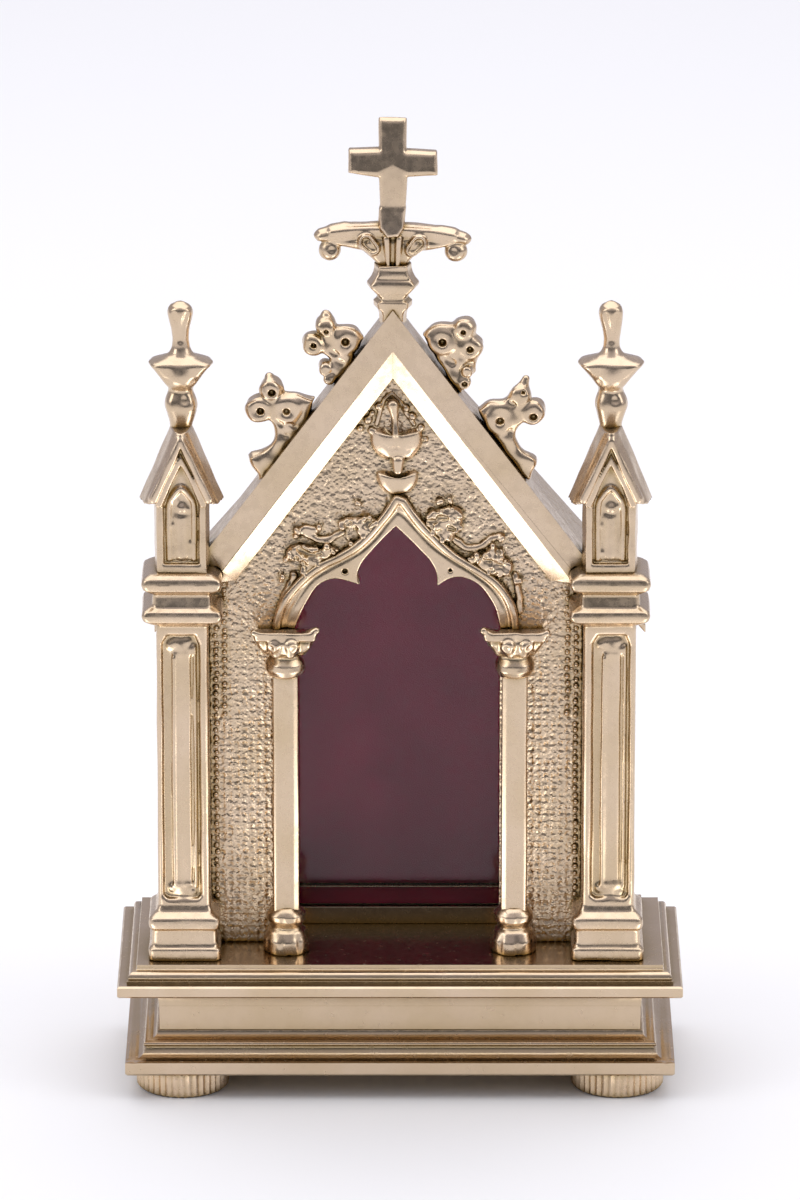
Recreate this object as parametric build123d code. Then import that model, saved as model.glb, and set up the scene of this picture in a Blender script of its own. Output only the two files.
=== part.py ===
"""Small Gothic brass shrine (a display reliquary, or monstrance) with a glazed niche.

Units are millimetres. +X is to the right, -Y to the front and +Z up. The origin is at the middle
of the base, in the plane that the four feet stand on.
"""

import os
from math import cos, pi, sin

from build123d import *

# ---------------------------------------------------------------- driving dimensions
BASE_WIDTH = 120.0  # upper base slab, the widest part
BASE_DEPTH = 49.5
DECK_Z = 30.2  # top of the base, which the shrine stands on
TOTAL_HEIGHT = 212.7

FOOT_RADIUS = 9.9
FOOT_HEIGHT = 5.8
FOOT_X = 46.5
FOOT_Y = 11.8
FOOT_FLUTES = 40
FLUTE_DEPTH = 0.45
STUD_RADIUS = 2.0

PLINTH_WIDTH = 117.0
PLINTH_DEPTH = 46.4
PLINTH_TOP = 19.2
BOTTOM_PLATE = 1.2

PIER_LEFT_X = -45.8  # the front was soldered on by hand, a little to the left
PIER_RIGHT_X = 44.1
PIER_Y = -10.75
PIER_HALF = 5.5  # pier shaft
PIER_TOP = 116.2
PIER_BACK = -3.1
RING_HALF_X = 8.6
RING_HALF_Y = 7.65
CAP_EAVE_Z = 132.8
CAP_NECK_Z = 147.0

WALL_FRONT = -6.7
WALL_BACK = -3.1
WALL_LEFT = PIER_LEFT_X + PIER_HALF
WALL_RIGHT = PIER_RIGHT_X - PIER_HALF

GABLE_X = -1.5  # middle of the gable, its leaves and the cross
GABLE_APEX = 172.2
GABLE_SLOPE = 1.344  # drop per unit of half width
GABLE_FRONT = -10.9
COPING_FLAT = 5.3  # widths measured square to the slope
COPING_BEVEL = 3.9
COPING_BEVEL_DROP = 2.2  # how far the bevel falls back towards the wall
COPING_FOOT = 112.3  # the coping ends on the piers' upper rings
SLOPE_STRETCH = (1.0 + GABLE_SLOPE**2) ** 0.5  # vertical height per unit of square width

ARCH_X = -0.7  # middle of the opening and its hood
HOOD_APEX = 130.6
HOOD_INNER_APEX = 126.0
HOOD_FRONT = WALL_FRONT - 1.9

COLUMN_X = 24.2
COLUMN_Y = -10.6
CAPITAL_TOP = 103.5

CREST_Y = -7.2  # middle plane of the cross, bracket, knop and crockets
CREST_HALF = 2.6

NICHE_HALF = 24.0
NICHE_FLOOR = 34.0
NICHE_TOP = 123.6
NICHE_FRONT = 7.2
LINING = 1.4
GLASS_FRONT = 5.4
GLASS_THICKNESS = 1.6

CASKET_HALF = 50.0
SHEET = 1.2
FRAME_FRONT = 18.0
FRAME_BACK = 19.2
ROOF_RIDGE = 161.2
ROOF_SLOPE = 1.168
ROOF_HALF = 52.0
ROOF_BACK = 20.6

DOOR_HALF = 27.5
DOOR_BOTTOM = 31.5
DOOR_TOP = 126.2
DOOR_FRONT = 19.3
DOOR_BACK = 20.5
HINGE_X = -29.0
HINGE_Y = 21.2
HINGE_RADIUS = 1.5
PIN_RADIUS = 0.7
PIN_CLEARANCE = 0.05
HINGE_SPANS = ((44.0, 60.0), (98.0, 114.0))
LATCH_X = 32.6
LATCH_Z = 78.0

FAR = 400.0  # longer than the part, for cutting tools

parts = {}


# ---------------------------------------------------------------- helpers
def block(x, y, z):
    """A box between two X, two Y and two Z values."""
    size = (x[1] - x[0], y[1] - y[0], z[1] - z[0])
    middle = ((x[0] + x[1]) / 2, (y[0] + y[1]) / 2, (z[0] + z[1]) / 2)
    return Pos(*middle) * Box(*size)


def slab(face_xz, front, back):
    """A face drawn in X and Z, made solid from its front to its back plane."""
    return extrude(Plane.XZ.offset(-back) * face_xz, amount=back - front)


def side_slab(face_yz, left, right):
    """A face drawn in Y and Z, made solid from its left to its right plane."""
    return extrude(Plane.YZ.offset(left) * face_yz, amount=right - left)


def polygon(points):
    """A face inside a closed line through the points."""
    return make_face(Polyline(*points, close=True))


def mirrored(part):
    """The same piece on the other side of the shrine."""
    return mirror(part, about=Plane.YZ)


def moulding_face(half, steps):
    """A face whose two edges follow a moulding.

    Each step is (recess from half, height, bulge); a bulge bends the edge that leads to the next
    step, outward when positive.
    """
    edges = [
        Line((-(half - steps[0][0]), steps[0][1]), (half - steps[0][0], steps[0][1])),
        Line((-(half - steps[-1][0]), steps[-1][1]), (half - steps[-1][0], steps[-1][1])),
    ]
    for (recess_a, z_a, bulge), (recess_b, z_b, _) in zip(steps, steps[1:]):
        for side in (-1, 1):
            start = (side * (half - recess_a), z_a)
            end = (side * (half - recess_b), z_b)
            if bulge:
                edges.append(SagittaArc(start, end, -side * bulge))
            else:
                edges.append(Line(start, end))
    return make_face(edges)


def moulded(half_x, half_y, steps):
    """A rectangular block with the same mitred moulding on all four sides."""
    along_y = slab(moulding_face(half_x, steps), -half_y, half_y)
    along_x = side_slab(moulding_face(half_y, steps), -half_x, half_x)
    return along_y & along_x


def turned(steps):
    """A round piece about Z. Each step is (radius, height, bulge)."""
    edges = [
        Line((0, steps[0][1]), (steps[0][0], steps[0][1])),
        Line((0, steps[-1][1]), (steps[-1][0], steps[-1][1])),
        Line((0, steps[0][1]), (0, steps[-1][1])),
    ]
    for (radius_a, z_a, bulge), (radius_b, z_b, _) in zip(steps, steps[1:]):
        if bulge:
            edges.append(SagittaArc((radius_a, z_a), (radius_b, z_b), -bulge))
        else:
            edges.append(Line((radius_a, z_a), (radius_b, z_b)))
    return revolve(Plane.XZ * make_face(edges), Axis.Z)


def gable_face(apex, slope, half, bottom):
    """A house-shaped face: upright sides and two slopes that meet at the apex."""
    eave = apex - slope * half
    return polygon([(-half, bottom), (half, bottom), (half, eave), (0, apex), (-half, eave)])


def gable_mass(bottom, front, back):
    """The house-shaped solid between the piers, under the outer line of the gable."""
    house = Pos(GABLE_X, 0, 0) * slab(gable_face(GABLE_APEX, GABLE_SLOPE, FAR / 4, bottom), front, back)
    return house & block((WALL_LEFT, WALL_RIGHT), (-FAR, FAR), (bottom, FAR))


def lower_gable(width):
    """Apex of the gable line that runs a given square distance inside the outer one."""
    return GABLE_APEX - width * SLOPE_STRETCH


def rod_y(x, z, radius, front, back):
    """A round bar along Y."""
    return slab(Pos(x, z) * Circle(radius), front, back)


def rod_z(x, y, radius, bottom, top):
    """A round bar along Z."""
    return Pos(x, y, (bottom + top) / 2) * Cylinder(radius, top - bottom)


# ---------------------------------------------------------------- base
def foot(x, y):
    """A fluted disc with a chamfered lower edge and a blind hole for its stud."""
    count = 2 * FOOT_FLUTES
    outline = []
    for index in range(count):
        radius = FOOT_RADIUS - FLUTE_DEPTH * (index % 2)
        angle = 2 * pi * index / count
        outline.append((radius * cos(angle), radius * sin(angle)))
    disc = extrude(polygon(outline), amount=FOOT_HEIGHT)
    chamfer_height = 0.6
    envelope = turned(
        [
            (FOOT_RADIUS - chamfer_height, 0, 0),
            (FOOT_RADIUS, chamfer_height, 0),
            (FOOT_RADIUS, FOOT_HEIGHT - chamfer_height, 0),
            (FOOT_RADIUS - chamfer_height, FOOT_HEIGHT, 0),
        ]
    )
    hole = rod_z(0, 0, STUD_RADIUS, 1.6, FOOT_HEIGHT + 1)
    return Pos(x, y, 0) * ((disc & envelope) - hole)


def foot_places():
    """The four foot centres with their names."""
    for y_name, y in (("front", -FOOT_Y), ("rear", FOOT_Y)):
        for x_name, x in (("left", -FOOT_X), ("right", FOOT_X)):
            yield f"foot_{y_name}_{x_name}", x, y


def stud_holes(bottom, top, radius=STUD_RADIUS):
    """Four upright rods on the foot centres."""
    return [rod_z(x, y, radius, bottom, top) for _, x, y in foot_places()]


def build_base():
    """Feet, studs, closing plate, lower plinth and upper deck."""
    for name, x, y in foot_places():
        parts[name] = foot(x, y)

    stud_bottom = 1.6
    stud_top = 26.0
    parts["base_studs"] = Compound(children=stud_holes(stud_bottom, stud_top))

    plinth_steps = [
        (0.5, FOOT_HEIGHT, 0),
        (0, 6.3, 0),
        (0, 8.8, 0),
        (0.9, 8.9, -0.9),
        (4.4, 10.7, 0),
        (4.4, 11.0, 0.5),
        (4.4, 12.1, 0),
        (5.0, 12.2, -0.5),
        (6.9, 13.7, 0),
        (7.2, 13.7, 0),
        (7.2, PLINTH_TOP, 0),
    ]
    plinth = moulded(PLINTH_WIDTH / 2, PLINTH_DEPTH / 2, plinth_steps)
    cavity_x = 49.0
    cavity_y = 13.6
    cavity_top = 17.0
    rebate = 1.6
    plate_top = FOOT_HEIGHT + BOTTOM_PLATE
    plinth -= block((-cavity_x, cavity_x), (-cavity_y, cavity_y), (FOOT_HEIGHT, cavity_top))
    plate_x = cavity_x + rebate
    plate_y = cavity_y + rebate
    plinth -= block((-plate_x, plate_x), (-plate_y, plate_y), (FOOT_HEIGHT - 1, plate_top))
    for hole in stud_holes(0, stud_top):
        plinth -= hole
    parts["base_plinth"] = plinth

    plate = block((-plate_x, plate_x), (-plate_y, plate_y), (FOOT_HEIGHT, plate_top))
    for hole in stud_holes(0, stud_top):
        plate -= hole
    parts["base_bottom_plate"] = plate

    deck_steps = [
        (8.6, PLINTH_TOP, 0),
        (8.6, 19.6, -1.6),
        (3.4, 24.0, 0),
        (0.4, 24.1, 0),
        (0, 24.5, 0),
        (0, 26.3, 0),
        (0.4, 26.7, 0),
        (2.0, 26.7, 0),
        (2.0, 27.3, 0),
        (2.4, 27.3, 0.5),
        (3.5, 29.0, 0),
        (3.9, 29.1, 0),
        (4.15, 29.4, 0),
        (4.15, DECK_Z, 0),
    ]
    deck = moulded(BASE_WIDTH / 2, BASE_DEPTH / 2, deck_steps)
    deck_cavity_top = 27.0
    deck_cavity = block((-cavity_x, cavity_x), (-cavity_y, cavity_y), (0, deck_cavity_top))
    for boss in stud_holes(0, deck_cavity_top, 2 * STUD_RADIUS):
        deck_cavity -= boss
    deck -= deck_cavity
    for hole in stud_holes(0, stud_top):
        deck -= hole
    parts["base_deck"] = deck


# ---------------------------------------------------------------- piers and pinnacles
def rounded_block(half_x, half_y, radius, bottom, top):
    """An upright block with rounded corners."""
    return extrude(Pos(0, 0, bottom) * RectangleRounded(2 * half_x, 2 * half_y, radius), amount=top - bottom)


def pier_ring(bottom, top):
    """A half-round moulding around a pier, with soft corners."""
    bulge = 1.5
    corner = 2.4
    band = moulded(RING_HALF_X, RING_HALF_Y, [(bulge, bottom, bulge), (bulge, top, 0)])
    return band & rounded_block(RING_HALF_X, RING_HALF_Y, corner, bottom, top)


def pier():
    """One pier from the deck to its upper ring, drawn about its own axis."""
    foot_half = 7.65
    body = moulded(
        foot_half,
        foot_half,
        [
            (0, DECK_Z, 0),
            (0, 32.7, 0),
            (0.5, 33.0, -0.7),
            (0.9, 37.0, 0),
            (0.2, 37.2, 0.35),
            (0.2, 40.0, 0),
            (0.5, 40.0, -0.6),
            (foot_half - PIER_HALF, 42.2, 0),
            (foot_half - PIER_HALF, PIER_TOP - 1, 0),
        ],
    )
    band_half = 5.9
    body += pier_ring(105.2, 108.9)
    body += rounded_block(band_half, band_half, 0.4, 108, 113)
    body += pier_ring(112.0, PIER_TOP)
    body += block((-PIER_HALF, PIER_HALF), (0, PIER_BACK - PIER_Y), (DECK_Z, PIER_TOP))

    panel_half = 3.9
    panel_bottom = 44.5
    panel_top = 101.5
    panel_depth = 0.9
    rib_half = 1.7
    rib_inset = 2.6
    middle = (panel_bottom + panel_top) / 2
    panel = Pos(0, middle) * RectangleRounded(2 * panel_half, panel_top - panel_bottom, 1.6)
    rib = Pos(0, middle) * Rectangle(2 * rib_half, panel_top - panel_bottom - 2 * rib_inset)
    body -= slab(panel - rib, -PIER_HALF, -PIER_HALF + panel_depth)
    return body


def niche_outline(half, bottom, spring, apex):
    """A pointed arch outline with upright sides."""
    middle_z = spring + 0.62 * (apex - spring)
    middle_x = half * 0.62
    edges = [
        Line((-half, bottom), (half, bottom)),
        Line((half, bottom), (half, spring)),
        ThreePointArc((half, spring), (middle_x, middle_z), (0, apex)),
        ThreePointArc((0, apex), (-middle_x, middle_z), (-half, spring)),
        Line((-half, spring), (-half, bottom)),
    ]
    return make_face(edges)


def pinnacle():
    """Square turret with a steep gable, wider at its middle plane than at its front and back."""
    half = 5.4
    cap_front = 6.75
    cap_half_middle = 8.1
    cap_half_front = 5.4
    neck_half = 2.2
    body = block((-half, half), (-half, half), (PIER_TOP, CAP_EAVE_Z + 1))
    wide = [
        (-cap_half_middle, CAP_EAVE_Z),
        (cap_half_middle, CAP_EAVE_Z),
        (neck_half, CAP_NECK_Z),
        (-neck_half, CAP_NECK_Z),
    ]
    narrow = [
        (-cap_half_front, CAP_EAVE_Z),
        (cap_half_front, CAP_EAVE_Z),
        (0.3, CAP_NECK_Z - 0.4),
        (-0.3, CAP_NECK_Z - 0.4),
    ]
    middle_face = Plane.XZ * polygon(wide)
    for direction in (1, -1):
        end_face = Plane.XZ.offset(direction * cap_front) * polygon(narrow)
        body += loft([middle_face, end_face], ruled=True)

    niche_half = 3.7
    niche_floor = half - 0.9
    niche = niche_outline(niche_half, 118.0, 131.5, 140.4)
    body -= slab(niche, -cap_front, -niche_floor)
    body -= slab(niche, niche_floor, cap_front)
    return body


def pinnacle_finial():
    """Double-cone knop, four-leaved cup and bud above a pinnacle."""
    neck = 2.2
    lower = moulded(
        3.6,
        3.6,
        [
            (3.6 - neck, CAP_NECK_Z, -0.3),
            (0.2, 151.2, 0.2),
            (0.2, 152.2, -0.2),
            (1.2, 155.0, 0),
            (1.2, 155.4, 0),
        ],
    )
    cup_bottom = 155.4
    cup_rim = 160.9
    cup_neck = 164.6
    leaf_half = 6.9
    leaf_width = 3.2
    cup_points = [
        (-2.4, cup_bottom),
        (2.4, cup_bottom),
        (leaf_half, cup_rim),
        (leaf_half - 0.4, cup_rim + 0.9),
        (3.0, cup_rim + 1.4),
        (1.5, cup_neck),
        (-1.5, cup_neck),
        (-3.0, cup_rim + 1.4),
        (-(leaf_half - 0.4), cup_rim + 0.9),
        (-leaf_half, cup_rim),
    ]
    across = slab(polygon(cup_points), -leaf_width, leaf_width)
    along = side_slab(polygon(cup_points), -leaf_width, leaf_width)
    inner = slab(polygon(cup_points), -leaf_half, leaf_half) & side_slab(
        polygon(cup_points), -leaf_half, leaf_half
    )
    cup = (across + along) & inner
    bud = turned(
        [
            (1.5, cup_neck, 0),
            (1.6, 165.6, 0.1),
            (2.6, 170.6, 0.6),
            (2.2, 173.2, 0.3),
            (0.8, 174.2, 0),
        ]
    )
    return lower + cup + bud


def build_piers():
    """Both piers, turrets and finials."""
    facade_slot = block((WALL_LEFT, WALL_RIGHT), (WALL_FRONT, FAR), (0, FAR))
    behind = block((-FAR, FAR), (PIER_BACK, FAR), (0, FAR))
    one_pier = pier()
    one_turret = pinnacle()
    one_finial = pinnacle_finial()
    for side, x in (("left", PIER_LEFT_X), ("right", PIER_RIGHT_X)):
        place = Pos(x, PIER_Y, 0)
        parts[f"pier_{side}"] = place * one_pier - facade_slot - behind
        parts[f"pinnacle_{side}"] = place * one_turret - coping_envelope()
        parts[f"pinnacle_finial_{side}"] = place * one_finial


# ---------------------------------------------------------------- front wall and gable
def opening_half():
    """Right half of the trefoil opening's line, from the apex down to the deck."""
    return [
        Line((0, 123.4), (5.9, 117.5)),
        ThreePointArc((5.9, 117.5), (8.1, 114.4), (8.1, 110.4)),
        ThreePointArc((8.1, 110.4), (12.7, 112.2), (17.2, 110.0)),
        ThreePointArc((17.2, 110.0), (20.1, 106.2), (21.8, 101.2)),
        Line((21.8, 101.2), (21.8, 20)),
        Line((21.8, 20), (0, 20)),
        Line((0, 20), (0, 123.4)),
    ]


def opening_face():
    """The whole trefoil opening."""
    half = make_face(opening_half())
    return half + mirror(half, about=Plane.YZ)


def hood_half(apex, inner):
    """Right half of an ogee hood line: hollow above, full at the shoulder."""
    if inner:
        knee = (9.3, 116.0)
        flank = (4.3, apex - 5.2)
        shoulder = (18.3, 110.6)
        spring = (22.9, 101.2)
    else:
        knee = (11.0, 118.8)
        flank = (4.8, apex - 6.2)
        shoulder = (20.5, 112.4)
        spring = (25.4, 101.2)
    return [
        ThreePointArc((0, apex), flank, knee),
        ThreePointArc(knee, shoulder, spring),
        Line(spring, (0, spring[1])),
        Line((0, spring[1]), (0, apex)),
    ]


def coping_envelope():
    """The solid chevron that the coping fills, out to well past its ends."""
    outer = gable_face(GABLE_APEX, GABLE_SLOPE, FAR / 4, 0)
    inner = gable_face(lower_gable(COPING_FLAT + COPING_BEVEL), GABLE_SLOPE, FAR / 4, 0)
    chevron = Pos(GABLE_X, 0, 0) * slab(outer - inner, GABLE_FRONT, WALL_BACK)
    return chevron & block((WALL_LEFT, WALL_RIGHT), (-FAR, FAR), (0, FAR))


def build_gable():
    """Gable coping with a shallow inner bevel, and the facade panel below it."""
    above_foot = block((-FAR, FAR), (-FAR, FAR), (COPING_FOOT, FAR))
    coping = coping_envelope() & above_foot
    wall = gable_mass(DECK_Z, WALL_FRONT, WALL_BACK)
    opening = Pos(ARCH_X, 0, 0) * slab(opening_face(), WALL_FRONT - 1, WALL_BACK + 1)
    parts["facade_panel"] = wall - coping - opening

    bevel_apex = lower_gable(COPING_FLAT)
    inner_apex = lower_gable(COPING_FLAT + COPING_BEVEL)
    bevel_back = GABLE_FRONT + COPING_BEVEL_DROP
    near = Plane.XZ.offset(-GABLE_FRONT) * gable_face(bevel_apex, GABLE_SLOPE, FAR / 4, -FAR)
    far = Plane.XZ.offset(-bevel_back) * gable_face(inner_apex, GABLE_SLOPE, FAR / 4, -FAR)
    coping -= Pos(GABLE_X, 0, 0) * loft([near, far], ruled=True)
    parts["gable_coping"] = coping - parts["pier_left"] - parts["pier_right"]


def build_hood():
    """Ogee hood mould over the opening, its fleuron and its leaves."""
    outer = make_face(hood_half(HOOD_APEX, False))
    inner = make_face(hood_half(HOOD_INNER_APEX, True))
    half_band = outer - inner
    band = half_band + mirror(half_band, about=Plane.YZ)
    place = Pos(ARCH_X, 0, 0)
    parts["arch_hood"] = place * slab(band, HOOD_FRONT, WALL_FRONT)

    fleuron_depth = 2.4
    fleuron_face = polygon(
        [
            (-0.9, 131.2),
            (0.9, 131.2),
            (2.0, 133.6),
            (4.9, 135.5),
            (1.4, 136.6),
            (3.4, 140.2),
            (5.7, 144.6),
            (2.0, 145.4),
            (1.3, 147.0),
            (1.9, 149.6),
            (0.9, 151.6),
            (-0.9, 151.6),
            (-1.9, 149.6),
            (-1.3, 147.0),
            (-2.0, 145.4),
            (-5.7, 144.6),
            (-3.4, 140.2),
            (-1.4, 136.6),
            (-4.9, 135.5),
            (-2.0, 133.6),
        ]
    )
    parts["hood_fleuron"] = place * slab(fleuron_face, WALL_FRONT - fleuron_depth, WALL_FRONT)

    leaf_depth = 2.2
    vine_depth = 1.2
    vine = polygon([(9, 121.5), (23, 112.5), (23.5, 116), (10, 125)])
    leaves = slab(vine, WALL_FRONT - vine_depth, WALL_FRONT)
    for x, z, radius in ((9.4, 124.9, 2.1), (13.2, 122.6, 3.1), (18.6, 118.9, 3.0), (22.4, 116.6, 2.3)):
        leaves += rod_y(x, z, radius, WALL_FRONT - leaf_depth, WALL_FRONT)
    leaves -= slab(outer, HOOD_FRONT - 1, WALL_FRONT + 1)
    parts["hood_leaves_right"] = place * leaves
    parts["hood_leaves_left"] = place * mirrored(leaves)


def crocket(lobes, web, stem):
    """A leaf on the gable slope: round lobes on a body, above a pointed stem."""
    face = polygon(web) + polygon(stem)
    for x, z, radius in lobes:
        face += Pos(x, z) * Circle(radius)
    leaf = slab(face, CREST_Y - CREST_HALF, CREST_Y + CREST_HALF)
    return leaf - slab(gable_face(GABLE_APEX, GABLE_SLOPE, FAR / 4, 0), -FAR, FAR)


def build_crockets():
    """Two crockets on each slope of the gable."""
    upper = crocket(
        [(10.4, 163.3, 3.5), (14.2, 167.2, 2.2), (17.3, 163.4, 2.3)],
        [(8.0, 160.0), (14.0, 152.5), (15.6, 160.2), (16.0, 165.0), (12.5, 167.5), (7.4, 165.5)],
        [(12.4, 154.6), (14.6, 153.4), (16.4, 157.4), (13.4, 160.5)],
    )
    lower = crocket(
        [(21.2, 149.4, 3.6), (25.6, 153.8, 2.4), (28.6, 148.7, 2.6)],
        [(18.5, 146.0), (28.0, 133.0), (27.2, 146.0), (27.0, 151.5), (23.0, 152.5), (17.8, 151.0)],
        [(27.0, 135.5), (29.2, 132.4), (31.2, 138.0), (27.6, 142.0)],
    )
    for name, leaf in (("upper", upper), ("lower", lower)):
        parts[f"crocket_right_{name}"] = Pos(GABLE_X, 0, 0) * leaf
        parts[f"crocket_left_{name}"] = Pos(GABLE_X, 0, 0) * mirrored(leaf)


# ---------------------------------------------------------------- cross and its mount
def build_crest():
    """Knop on the gable's apex, leaf bracket and cross."""
    knop_top = 181.0
    knop_bottom = 170.6
    knop = moulded(
        5.4,
        4.6,
        [
            (2.7, knop_bottom - 4, 0),
            (2.7, knop_bottom, 0),
            (1.5, 172.2, 0),
            (1.5, 173.2, 0),
            (2.2, 174.3, 0),
            (0, 176.6, 0),
            (0, 177.2, 0),
            (1.65, knop_top, 0),
        ],
    )
    knop = Pos(GABLE_X, CREST_Y, 0) * knop
    parts["apex_knop"] = knop - gable_mass(0, -FAR, FAR)

    bracket_top = 189.9
    wing = make_face(
        [
            Line((-3.8, knop_top), (3.8, knop_top)),
            ThreePointArc((3.8, knop_top), (5.6, 183.9), (10.6, 185.0)),
            Line((10.6, 185.0), (13.6, 185.0)),
            Line((13.6, 185.0), (17.0, 188.2)),
            ThreePointArc((17.0, 188.2), (16.0, 189.6), (13.6, bracket_top)),
            Line((13.6, bracket_top), (-13.6, bracket_top)),
            ThreePointArc((-13.6, bracket_top), (-16.0, 189.6), (-17.0, 188.2)),
            Line((-17.0, 188.2), (-13.6, 185.0)),
            Line((-13.6, 185.0), (-10.6, 185.0)),
            ThreePointArc((-10.6, 185.0), (-5.6, 183.9), (-3.8, knop_top)),
        ]
    )
    bracket = slab(wing, CREST_Y - CREST_HALF, CREST_Y + CREST_HALF)
    curl_radius = 2.3
    curl_x = 13.4
    curl_z = 184.1
    for side in (-1, 1):
        bracket += Pos(side * curl_x, CREST_Y, curl_z) * Sphere(curl_radius)
    parts["apex_bracket"] = Pos(GABLE_X, 0, 0) * bracket

    stem_half = 2.9
    arm_half = 9.3
    arm_bottom = 200.6
    arm_top = 205.9
    cross_half_depth = 2.35
    upright = Pos(0, (bracket_top + TOTAL_HEIGHT) / 2) * Rectangle(2 * stem_half, TOTAL_HEIGHT - bracket_top)
    arms = Pos(0, (arm_bottom + arm_top) / 2) * RectangleRounded(2 * arm_half, arm_top - arm_bottom, 0.9)
    cross = slab(upright + arms, CREST_Y - cross_half_depth, CREST_Y + cross_half_depth)
    parts["cross"] = Pos(GABLE_X, 0, 0) * cross


# ---------------------------------------------------------------- colonnettes
def build_colonnettes():
    """Base, shaft and leaf capital on each side of the opening."""
    base_top = 39.4
    shaft_half = 2.55
    shaft_top = 91.9
    base = turned(
        [
            (5.1, DECK_Z, 0),
            (5.1, 31.2, 0),
            (4.6, 33.2, -0.3),
            (3.2, 35.3, 0),
            (3.5, 35.5, 0.7),
            (3.5, base_top - 0.2, 0),
            (2.9, base_top, 0),
        ]
    )
    shaft = rounded_block(shaft_half, shaft_half, 0.9, base_top, shaft_top)
    capital = turned(
        [
            (2.6, shaft_top, 0),
            (3.8, 92.3, 0.5),
            (3.8, 95.8, 0),
            (3.2, 96.4, 0),
            (5.2, 98.0, 0.4),
            (5.4, 100.6, 0),
            (5.0, 101.1, 0),
        ]
    )
    abacus_half = 6.4
    abacus_depth = 4.4
    abacus = rounded_block(abacus_half, abacus_depth, 1.0, 101.1, CAPITAL_TOP)
    half_arch = make_face(hood_half(HOOD_APEX, False))
    arch_face = half_arch + mirror(half_arch, about=Plane.YZ)
    arch = Pos(ARCH_X, 0, 0) * slab(arch_face, HOOD_FRONT, WALL_FRONT)
    behind = block((-FAR, FAR), (WALL_FRONT, FAR), (0, FAR))
    for side, x in (("left", -COLUMN_X), ("right", COLUMN_X)):
        place = Pos(x, COLUMN_Y, 0)
        parts[f"colonnette_base_{side}"] = place * base - behind
        parts[f"colonnette_shaft_{side}"] = place * shaft
        parts[f"colonnette_capital_{side}"] = place * (capital + abacus) - behind - arch


# ---------------------------------------------------------------- casket, glass and lining
def roof_line(x):
    """Height of the roof sheet's underside at a distance from the middle."""
    return ROOF_RIDGE - SHEET * (1 + ROOF_SLOPE**2) ** 0.5 - ROOF_SLOPE * x


def build_casket():
    """Sheet-brass casket behind the front: walls, roof and rear frame."""
    wall = block((CASKET_HALF - SHEET, CASKET_HALF), (WALL_BACK, FRAME_FRONT), (DECK_Z, roof_line(CASKET_HALF)))
    flange_y = (13.6, FRAME_BACK)
    flange_reach = 2.2
    wall += block((CASKET_HALF, CASKET_HALF + flange_reach), flange_y, (DECK_Z, DECK_Z + SHEET))
    parts["casket_wall_right"] = wall
    parts["casket_wall_left"] = mirrored(wall)

    outer = gable_face(ROOF_RIDGE, ROOF_SLOPE, ROOF_HALF, 0)
    inner = gable_face(roof_line(0), ROOF_SLOPE, ROOF_HALF, 0)
    parts["casket_roof"] = slab(outer - inner, WALL_BACK, ROOF_BACK)

    frame = slab(gable_face(roof_line(0), ROOF_SLOPE, CASKET_HALF, DECK_Z), FRAME_FRONT, FRAME_BACK)
    frame -= block((-NICHE_HALF, NICHE_HALF), (0, FAR), (NICHE_FLOOR, NICHE_TOP))
    parts["rear_frame"] = frame


def build_glazing():
    """Glass pane in its rail and channels, and the velvet-lined niche behind it."""
    glass_back = GLASS_FRONT + GLASS_THICKNESS
    glass_half = 26.0
    glass_bottom = 31.4
    glass_top = 125.6
    parts["window_glass"] = block((-glass_half, glass_half), (GLASS_FRONT, glass_back), (glass_bottom, glass_top))

    rail_front = GLASS_FRONT - 1.0
    rail_half = 28.2
    channel_inner = 25.0
    rail = block((-rail_half, rail_half), (rail_front, NICHE_FRONT), (DECK_Z, NICHE_FLOOR))
    rail -= block((-glass_half, glass_half), (GLASS_FRONT, glass_back), (glass_bottom, FAR))
    parts["glass_rail"] = rail

    channel = block((channel_inner, rail_half), (rail_front, NICHE_FRONT), (NICHE_FLOOR, glass_top))
    channel -= block((0, glass_half), (GLASS_FRONT, glass_back), (0, FAR))
    parts["glass_channel_right"] = channel
    parts["glass_channel_left"] = mirrored(channel)

    outside = NICHE_HALF + LINING
    top = NICHE_TOP + LINING
    deep = (NICHE_FRONT, FRAME_FRONT)
    floor = block((-outside, outside), deep, (NICHE_FLOOR - LINING, NICHE_FLOOR))
    side = block((NICHE_HALF, outside), deep, (NICHE_FLOOR, NICHE_TOP))
    ceiling = block((-outside, outside), deep, (NICHE_TOP, top))
    parts["niche_floor_lining"] = floor
    parts["niche_side_lining_right"] = side
    parts["niche_side_lining_left"] = mirrored(side)
    parts["niche_ceiling_lining"] = ceiling


# ---------------------------------------------------------------- rear door
def hinge_thirds(bottom, top):
    """Split a hinge's height into three knuckles with a small gap between them."""
    gap = 0.1
    third = (top - bottom) / 3
    return [(bottom + index * third + gap, bottom + (index + 1) * third - gap) for index in range(3)]


def knuckle(bottom, top, leaf_x, leaf_y):
    """A hinge barrel with its leaf, bored for the pin."""
    barrel = rod_z(HINGE_X, HINGE_Y, HINGE_RADIUS, bottom, top)
    barrel += block(leaf_x, leaf_y, (bottom, top))
    return barrel - rod_z(HINGE_X, HINGE_Y, PIN_RADIUS + PIN_CLEARANCE, bottom - 1, top + 1)


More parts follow.
